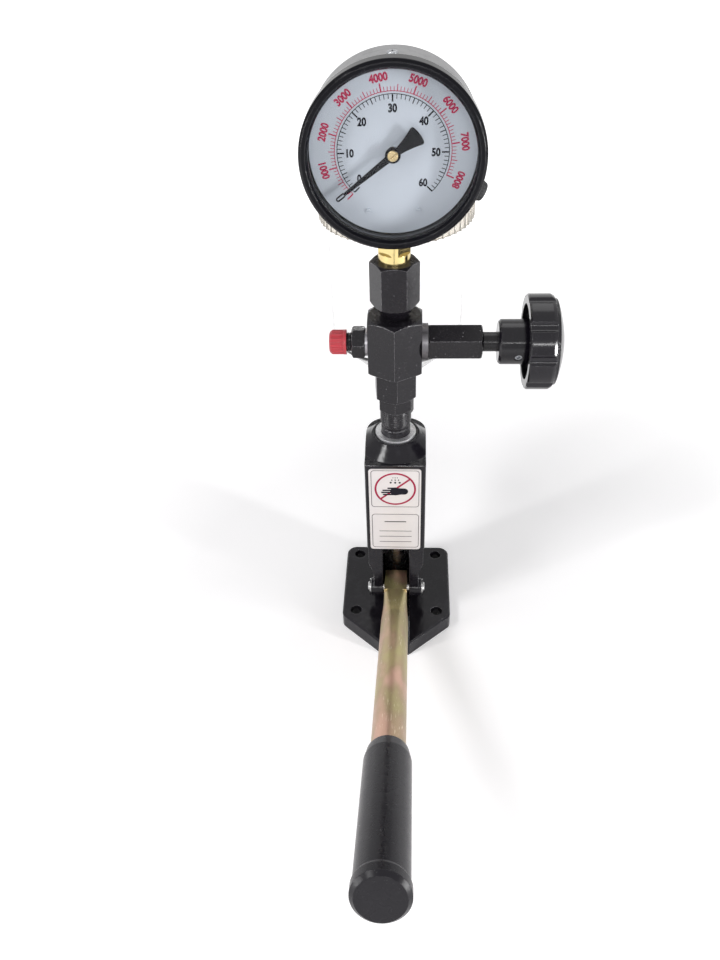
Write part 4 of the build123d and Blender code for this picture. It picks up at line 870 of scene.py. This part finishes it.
@dataclass
class DialPrint(FlatPrint):
    """Print on the gauge's dial.

    Angles run anticlockwise from the right, and the scales run clockwise from their start.
    """

    surface: float = -13.6 * MM
    centre: Span = (0.0, 370.0 * MM)
    start: float = math.radians(225.0)
    sweep: float = math.radians(270.0)
    arc_width: float = 0.42 * MM
    arc_points: int = 181
    boldness: float = 0.046
    curve_steps: int = 3
    flip_below: float = -0.15
    zero_shift: float = math.radians(8.5)

    def angle(self, share: float) -> float:
        """Angle at a share of the sweep."""
        return self.start - self.sweep * share

    def tick(self, solid: Solid, turn: float, reach: Span, width: float) -> None:
        """Printed line along a radius of the dial, from one reach to another."""
        along = np.array(reach)[:, None]
        side = width * LINE_SIDE
        across = along * math.cos(turn) - side * math.sin(turn)
        up = along * math.sin(turn) + side * math.cos(turn)
        solid.sweep(self.on_sheet(across, up, LINE_LIFT))

    def lean(self, scale: Scale, turn: float) -> float:
        """Angle of a number's base line. Those low on a turned scale stand the other way up."""
        if scale.level:
            return 0.0
        return turn + math.pi / 2 if math.sin(turn) < self.flip_below else turn - math.pi / 2

    def number(self, solid: Solid, scale: Scale, value: int) -> None:
        """Number as a thin plate, centred on its place. A zero keeps clear of the pointer.

        Args:
            solid: The mesh that takes it.
            scale: The scale that it belongs to.
            value: The number.
        """
        turn = self.angle(value / scale.full) - (0.0 if value else self.zero_shift)
        curve = bpy.data.curves.new("number", "FONT")
        curve.body = str(value)
        curve.size = scale.number_height
        curve.align_x = curve.align_y = "CENTER"
        curve.extrude = INK_THICKNESS / 2
        curve.offset = self.boldness * scale.number_height
        curve.resolution_u = self.curve_steps
        holder = bpy.data.objects.new("number", curve)
        mesh = bpy.data.meshes.new_from_object(holder)
        flat = np.empty(len(mesh.vertices) * 3)
        mesh.vertices.foreach_get("co", flat)
        flat = flat.reshape(-1, 3)
        middle = (flat.max(axis=0) + flat.min(axis=0)) / 2
        growth = scale.number_height / np.ptp(flat[:, 1])
        x, y = (flat - middle)[:, :2].T * growth * np.array([[scale.squeeze], [1.0]])
        lean = self.lean(scale, turn)
        across = scale.number_radius * math.cos(turn) + x * math.cos(lean) - y * math.sin(lean)
        up = scale.number_radius * math.sin(turn) + x * math.sin(lean) + y * math.cos(lean)
        points = self.on_sheet(across, up, flat[:, 2] + INK_THICKNESS / 2)
        solid.add(points, [list(face.vertices) for face in mesh.polygons])
        bpy.data.objects.remove(holder)
        bpy.data.curves.remove(curve)
        bpy.data.meshes.remove(mesh)

    def scale_print(self, scale: Scale) -> Solid:
        """Arc of a scale with its ticks and its numbers."""
        solid = Solid()
        last = scale.numbered[-1]
        turn = np.linspace(self.angle(0.0), self.angle(last / scale.full), self.arc_points)[:, None]
        reach = scale.radius + self.arc_width * LINE_SIDE
        solid.sweep(self.on_sheet(reach * np.cos(turn), reach * np.sin(turn), LINE_LIFT))
        for value in range(0, last + 1, scale.ranks[-1][0]):
            length, width = next(size for step, *size in scale.ranks if value % step == 0)
            inner = scale.radius if scale.outward else scale.radius - length
            outer = scale.radius + length if scale.outward else scale.radius
            self.tick(solid, self.angle(value / scale.full), (inner, outer), width)
        for value in scale.numbered:
            self.number(solid, scale, value)
        return solid

    def build(self, wardrobe: Wardrobe) -> None:
        """Make both scales."""
        for scale in (BLACK_SCALE, RED_SCALE):
            self.scale_print(scale).piece(scale.name, scale.ink, wardrobe, "tester")


LABEL_SURFACE = -29.8 * MM


@dataclass
class LabelFrames(FlatPrint):
    """Two thin rounded frames printed on the label, the lower one with plain rules in it.

    A frame has a bottom and a top, and a rule a height, a length and a thickness.
    """

    surface: float = LABEL_SURFACE
    centre: Span = (-0.1 * MM, 0.0)
    width: float = 34.2 * MM
    corner: float = 2.2 * MM
    corner_points: int = 9
    line: float = 0.45 * MM
    frames: tuple[Span, ...] = ((119.6 * MM, 153.3 * MM), (79.1 * MM, 112.3 * MM))
    rules: tuple[Point, ...] = (
        (105.0 * MM, 16.0 * MM, 0.9 * MM),
        (95.6 * MM, 24.0 * MM, 0.5 * MM),
        (90.2 * MM, 24.0 * MM, 0.5 * MM),
        (84.8 * MM, 24.0 * MM, 0.5 * MM),
    )

    def frame_rings(self, low: float, high: float) -> np.ndarray:
        """Sections of a printed line round a rounded rectangle.

        The path runs through four quarter circles, which straight runs join.

        Args:
            low: Bottom of the frame.
            high: Top of the frame.

        Returns:
            Stations by corners by 3.
        """
        turn = np.concatenate([
            np.linspace(quarter, quarter + math.pi / 2, self.corner_points)
            for quarter in np.arange(4) * math.pi / 2
        ])[:, None]
        sign_x = np.repeat([1.0, -1.0, -1.0, 1.0], self.corner_points)[:, None]
        sign_z = np.repeat([1.0, 1.0, -1.0, -1.0], self.corner_points)[:, None]
        radius = self.corner + self.line * LINE_SIDE
        across = sign_x * (self.width / 2 - self.corner) + radius * np.cos(turn)
        up = (low + high) / 2 + sign_z * ((high - low) / 2 - self.corner) + radius * np.sin(turn)
        return self.on_sheet(across, up, LINE_LIFT)

    def build(self, wardrobe: Wardrobe) -> None:
        """Make the frames and the rules as one piece."""
        solid = Solid()
        for height, length, thickness in self.rules:
            across = length * np.array([[-0.5], [0.5]])
            solid.sweep(self.on_sheet(across, height + thickness * LINE_SIDE, LINE_LIFT))
        for low, high in self.frames:
            solid.sweep(self.frame_rings(low, high), closed=True)
        solid.piece("label_frames", GREY_INK, wardrobe, "tester")


@dataclass
class WarningSign(FlatPrint):
    """Plain warning sign on the label: a red ring with a bar, and a hand of round bars in it.

    Its parts are flat plates. Those that cross lie a little above one another. The palm, wrist and
    cuff have a reach and a radius, and a row of drops a height, a spacing and a radius.
    """

    surface: float = LABEL_SURFACE
    centre: Span = (0.0, 136.4 * MM)
    radius: float = 14.2 * MM
    line: float = 1.40 * MM
    bar_angle: float = math.radians(41.0)
    ring_steps: int = 96
    end_steps: int = 8
    finger_reach: tuple[float, ...] = (-5.0 * MM, -8.6 * MM, -9.6 * MM, -8.4 * MM)
    finger_pitch: float = 1.95 * MM
    finger_radius: float = 0.62 * MM
    palm: Span = (0.0, 3.7 * MM)
    wrist: Span = (4.2 * MM, 2.8 * MM)
    cuff: Span = (6.4 * MM, 2.8 * MM)
    hand_drop: float = 2.1 * MM
    drop_rows: tuple[Point, ...] = (
        (6.0 * MM, 3.2 * MM, 0.80 * MM),
        (8.4 * MM, 2.4 * MM, 0.52 * MM),
        (10.5 * MM, 1.6 * MM, 0.36 * MM),
    )

    def bar(self, solid: Solid, start: Point, end: Point, layer: int) -> None:
        """Flat bar with round ends.

        Args:
            solid: The mesh that takes it.
            start: Across, up and radius at one end.
            end: The same at the other end.
            layer: How many inks thick it is.
        """
        way = math.atan2(end[1] - start[1], end[0] - start[0])
        half = np.linspace(-math.pi / 2, math.pi / 2, self.end_steps + 1)
        turn = np.concatenate([way + half, way + math.pi + half])
        point = np.repeat([end, start], self.end_steps + 1, axis=0)
        across = point[:, 0] + point[:, 2] * np.cos(turn)
        up = point[:, 1] + point[:, 2] * np.sin(turn)
        lift = INK_THICKNESS * layer * np.array([[0.0], [1.0]])
        solid.sweep(self.on_sheet(across, up, lift))

    def red_print(self) -> Solid:
        """Ring and bar."""
        solid = Solid()
        turn = full_turn(self.ring_steps)
        reach = self.radius + self.line * LINE_SIDE
        solid.sweep(self.on_sheet(reach * np.cos(turn), reach * np.sin(turn), LINE_LIFT), closed=True)
        x = self.radius * math.cos(self.bar_angle)
        z = self.radius * math.sin(self.bar_angle)
        self.bar(solid, (-x, -z, self.line / 2), (x, z, self.line / 2), 2)
        return solid

    def black_print(self) -> Solid:
        """Hand with its cuff, and three rows of drops over it."""
        solid = Solid()
        middle = (len(self.finger_reach) - 1) / 2
        for index, reach in enumerate(self.finger_reach):
            up = (middle - index) * self.finger_pitch - self.hand_drop
            self.bar(solid, (reach, up, self.finger_radius), (0.0, up, self.finger_radius), 3)
        palm, wrist, cuff = (
            (reach, -self.hand_drop, radius) for reach, radius in (self.palm, self.wrist, self.cuff)
        )
        self.bar(solid, palm, wrist, 4)
        self.bar(solid, wrist, cuff, 5)
        for height, spacing, radius in self.drop_rows:
            for side in (-1, 0, 1):
                place = (side * spacing, height, radius)
                self.bar(solid, place, place, 1)
        return solid

    def build(self, wardrobe: Wardrobe) -> None:
        """Make both prints."""
        self.red_print().piece("sign_ring", SIGN_RED, wardrobe, "tester")
        self.black_print().piece("sign_hand", BLACK_INK, wardrobe, "tester")


@dataclass
class ScrewThread:
    """Cut thread round a neck, as a thin sleeve on it.

    It starts at the centre and runs along its axis, or against it with flip. The crest runs round
    and up: height over the neck is depth times a triangle wave of (height / pitch - turn), faded
    to nothing at both ends.
    """

    name: str
    finish: Finish
    axis: Axis
    centre: Point
    radius: float
    length: float
    pitch: float
    depth: float
    flip: bool = False
    around: int = 96
    per_pitch: int = 8
    root: float = 0.05 * MM
    sink: float = 0.4 * MM
    fade_turns: float = 0.6
    sharp: float = math.radians(60.0)

    def rings(self) -> np.ndarray:
        """Sections of the sleeve, one for each angle."""
        steps = int(self.per_pitch * self.length / self.pitch)
        along = np.linspace(0.0, self.length, steps + 1)[None, :]
        turn = full_turn(self.around)
        wave = np.abs(((along / self.pitch - turn / (2 * math.pi)) % 1.0) * 2 - 1)
        fade = np.minimum(along, self.length - along) / (self.fade_turns * self.pitch)
        outer = self.radius + self.root + self.depth * (1 - wave) * np.clip(fade, 0.0, 1.0)
        inner = np.full((self.around, 2), self.radius - self.sink)
        radius = np.concatenate([outer, inner], axis=1)
        ends = np.broadcast_to([[self.length, 0.0]], (self.around, 2))
        height = np.concatenate([np.broadcast_to(along, outer.shape), ends], axis=1)
        if self.flip:
            height = -height
        points = np.stack([height, radius * np.cos(turn), radius * np.sin(turn)], axis=-1)
        return np.roll(points, self.axis.value, axis=-1) + np.array(self.centre)

    def build(self, wardrobe: Wardrobe) -> None:
        """Make the thread."""
        solid = Solid()
        solid.sweep(self.rings(), closed=True)
        piece = solid.piece(self.name, self.finish, wardrobe, "tester")
        shade_smooth(piece, self.sharp)


THREADS = (
    ScrewThread(
        name="neck_thread",
        finish=BLACK_STEEL_Z,
        axis=Axis.Z,
        centre=(0.0, 0.0, 175.4 * MM),
        radius=10.3 * MM,
        length=12.0 * MM,
        pitch=1.5 * MM,
        depth=0.55 * MM,
    ),
    ScrewThread(
        name="outlet_thread",
        finish=BLACK_STEEL_X,
        axis=Axis.X,
        centre=(-28.9 * MM, 0.0, 240.0 * MM),
        radius=6.0 * MM,
        length=3.3 * MM,
        pitch=1.25 * MM,
        depth=0.45 * MM,
        flip=True,
    ),
)


@dataclass
class VentPlugRibs:
    """Finger ribs round the head of the rubber vent plug.

    The sleeve's radius is the head's, plus a rib height times a rounded wave round the head. A
    corner of its section has its share of the length, its rise in rib heights and its sinking.
    """

    angle: float = math.radians(-26.5)
    centre_height: float = 370.0 * MM
    depth_place: float = -6.5 * MM
    start: float = 50.4 * MM
    length: float = 6.8 * MM
    radius: float = 5.55 * MM
    rib_height: float = 0.5 * MM
    sink: float = 0.4 * MM
    ribs: int = 18
    around: int = 216
    section: tuple[Point, ...] = (
        (0.0, 0.4, 0.0), (0.12, 1.0, 0.0), (0.88, 1.0, 0.0),
        (1.0, 0.4, 0.0), (1.0, 0.0, 1.0), (0.0, 0.0, 1.0),
    )
    sharp: float = math.radians(50.0)

    def build(self, wardrobe: Wardrobe) -> None:
        """Make the ribs."""
        turn = full_turn(self.around)
        rib = self.rib_height * np.abs(np.cos(turn * self.ribs / 2))
        share, rise, sunk = np.array(self.section).T
        radius = self.radius + rib * rise - self.sink * sunk
        height = self.start + self.length * share
        side = radius * np.cos(turn)
        depth = self.depth_place + radius * np.sin(turn)
        across = height * math.cos(self.angle) - side * math.sin(self.angle)
        up = self.centre_height + height * math.sin(self.angle) + side * math.cos(self.angle)
        solid = Solid()
        solid.sweep(np.stack([across, depth, up], axis=-1), closed=True)
        piece = solid.piece("vent_plug_ribs", PLUG_RUBBER, wardrobe, "tester")
        shade_smooth(piece, self.sharp)


@dataclass(frozen=True)
class ClosingSpring:
    """Coil spring: a copy of its CAD node's coil, carried rigidly with the tester.

    Args:
        node: The spring's CAD node, which the piece stands for.
        joint: The sliding joint at the spring's foot; not used.
        travel: How far the joint moves at its limit; not used.
    """

    node: str
    joint: str
    travel: float

    def build(self, wardrobe: Wardrobe) -> None:
        """Make the piece from the node's coil."""
        low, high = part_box(self.node)
        coil = in_scene(f"{self.node}_coil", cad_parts[self.node].data.copy())
        wardrobe.dress(coil, SPRING_STEEL)
        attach(coil, "tester")
        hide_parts(self.node)
        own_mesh(coil)


SPRINGS = (
    ClosingSpring("return_spring", "plunger_stroke", travel=7.883 * MM),
    ClosingSpring("delivery_spring", "delivery_lift", travel=1.0 * MM),
)


@dataclass
class Photographer:
    """Camera of the photograph, from its place, its pitch, roll and yaw and its focal length."""

    place: Point = (11.97 * MM, -512.04 * MM, 541.69 * MM)
    pitch: float = math.radians(39.38)
    roll: float = math.radians(-2.39)
    yaw: float = math.radians(-4.39)
    focal_pixels: float = 877.7
    frame_height: float = 960.0
    sensor: float = 36.0
    clip: Span = (0.02, 50.0)

    def build(self) -> None:
        """Set up the camera."""
        forward = Vector((
            math.sin(self.yaw) * math.cos(self.pitch),
            math.cos(self.yaw) * math.cos(self.pitch),
            -math.sin(self.pitch),
        ))
        level = Vector((math.cos(self.yaw), -math.sin(self.yaw), 0.0))
        right = math.cos(self.roll) * level + math.sin(self.roll) * level.cross(forward)
        up = right.cross(forward)
        data = bpy.data.cameras.new("camera")
        data.sensor_width = self.sensor
        data.lens = self.focal_pixels / self.frame_height * self.sensor
        data.clip_start, data.clip_end = self.clip
        camera = in_scene("camera", data)
        turn = Matrix((right, up, -forward)).transposed().to_4x4()
        camera.matrix_world = Matrix.Translation(self.place) @ turn
        bpy.context.scene.camera = camera


@dataclass(frozen=True)
class SoftBox:
    """Rectangular lamp of a width and height, which faces a point on the column's axis."""

    name: str
    place: Point
    aim_height: float
    size: Span
    watts: float

    def build(self) -> None:
        """Hang the lamp."""
        data = bpy.data.lights.new(self.name, "AREA")
        data.shape = "RECTANGLE"
        data.size, data.size_y = self.size
        data.energy = self.watts
        lamp = in_scene(self.name, data)
        lamp.location = self.place
        way = Vector((0.0, 0.0, self.aim_height)) - Vector(self.place)
        lamp.rotation_euler = way.to_track_quat("-Z", "Y").to_euler()


LAMPS = (
    SoftBox("key", (-0.80, -0.50, 1.30), 0.20, (0.32, 0.32), 7.0),
    SoftBox("front", (0.10, -1.15, 0.74), 0.30, (0.90, 0.05), 3.5),
    SoftBox("right", (1.15, -0.62, 0.30), 0.34, (0.10, 0.50), 13.0),
    SoftBox("left", (-1.05, -0.60, 0.42), 0.34, (0.08, 0.60), 5.0),
    SoftBox("back", (0.15, 0.75, 1.55), 0.30, (0.70, 0.70), 2.6),
)


@dataclass
class Studio:
    """Pale floor, soft lamps and a white surround.

    Args:
        floor_paint: The two colours that clouds on the floor run between.
        floor_lift: Glow of the floor at the object.
        fade: Distances where the glow begins to rise and where it is full.
        surround: Brightness of the surround as a light.
    """

    floor_half: float = 6.0
    floor_paint: tuple[Colour, Colour] = ((0.90, 0.89, 0.90), (0.87, 0.86, 0.875))
    cloud_size: float = 0.4
    floor_lift: float = 0.25
    fade: Span = (0.18, 0.85)
    surround: float = 0.27

    def floor(self) -> None:
        """Pale floor that keeps the object's shadow."""
        half = self.floor_half
        rim = [(x * half, y * half, 0.0) for x, y in ((-1, -1), (1, -1), (1, 1), (-1, 1))]
        mesh = bpy.data.meshes.new("floor")
        mesh.from_pydata(rim, [], [(0, 1, 2, 3)])
        floor = in_scene("floor", mesh)
        shader = Shader(bpy.data.materials.new("studio_floor"))
        where = shader.place()
        paint = shader.blend(shader.noise(where, self.cloud_size), *self.floor_paint)
        surface = shader.principled(Base_Color=paint, Roughness=0.9, Specular_IOR_Level=0.0)
        far = shader.band(shader.vectors("LENGTH", where, output="Value"), *self.fade)
        glow = (far * (1.0 - self.floor_lift) + self.floor_lift) * shader.background_ray()
        white = shader.node("ShaderNodeEmission", {"Color": WHITE, "Strength": glow})
        both = shader.node("ShaderNodeAddShader", {0: surface, 1: white})
        mesh.materials.append(shader.finished(both))

    def world(self) -> None:
        """White surround, dimmer as a light than as a background."""
        world = bpy.data.worlds.new("surround")
        shader = Shader(world)
        strength = shader.background_ray() * (1.0 - self.surround) + self.surround
        surface = shader.node("ShaderNodeBackground", {"Color": WHITE, "Strength": strength})
        shader.node("ShaderNodeOutputWorld", {"Surface": surface})
        bpy.context.scene.world = world

    def build(self) -> None:
        """Set up the studio."""
        self.floor()
        self.world()
        for lamp in LAMPS:
            lamp.build()
        bpy.context.scene.view_settings.view_transform = "Standard"


def corners(box: tuple[Vector, Vector]) -> list[list[float]]:
    """A box's two corners as plain lists."""
    return [list(corner) for corner in box]


def main() -> None:
    """Dress the frame, build what it lacks and set up the studio."""
    logging.basicConfig(level=logging.INFO, format="%(name)s: %(message)s")
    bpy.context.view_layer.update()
    wardrobe = Wardrobe()
    wardrobe.dress_nodes()
    Photographer().build()
    for part in (DialPrint(), LabelFrames(), WarningSign(), *THREADS, VentPlugRibs(), *SPRINGS):
        part.build(wardrobe)
    Studio().build()


if __name__ == "__main__":
    main()
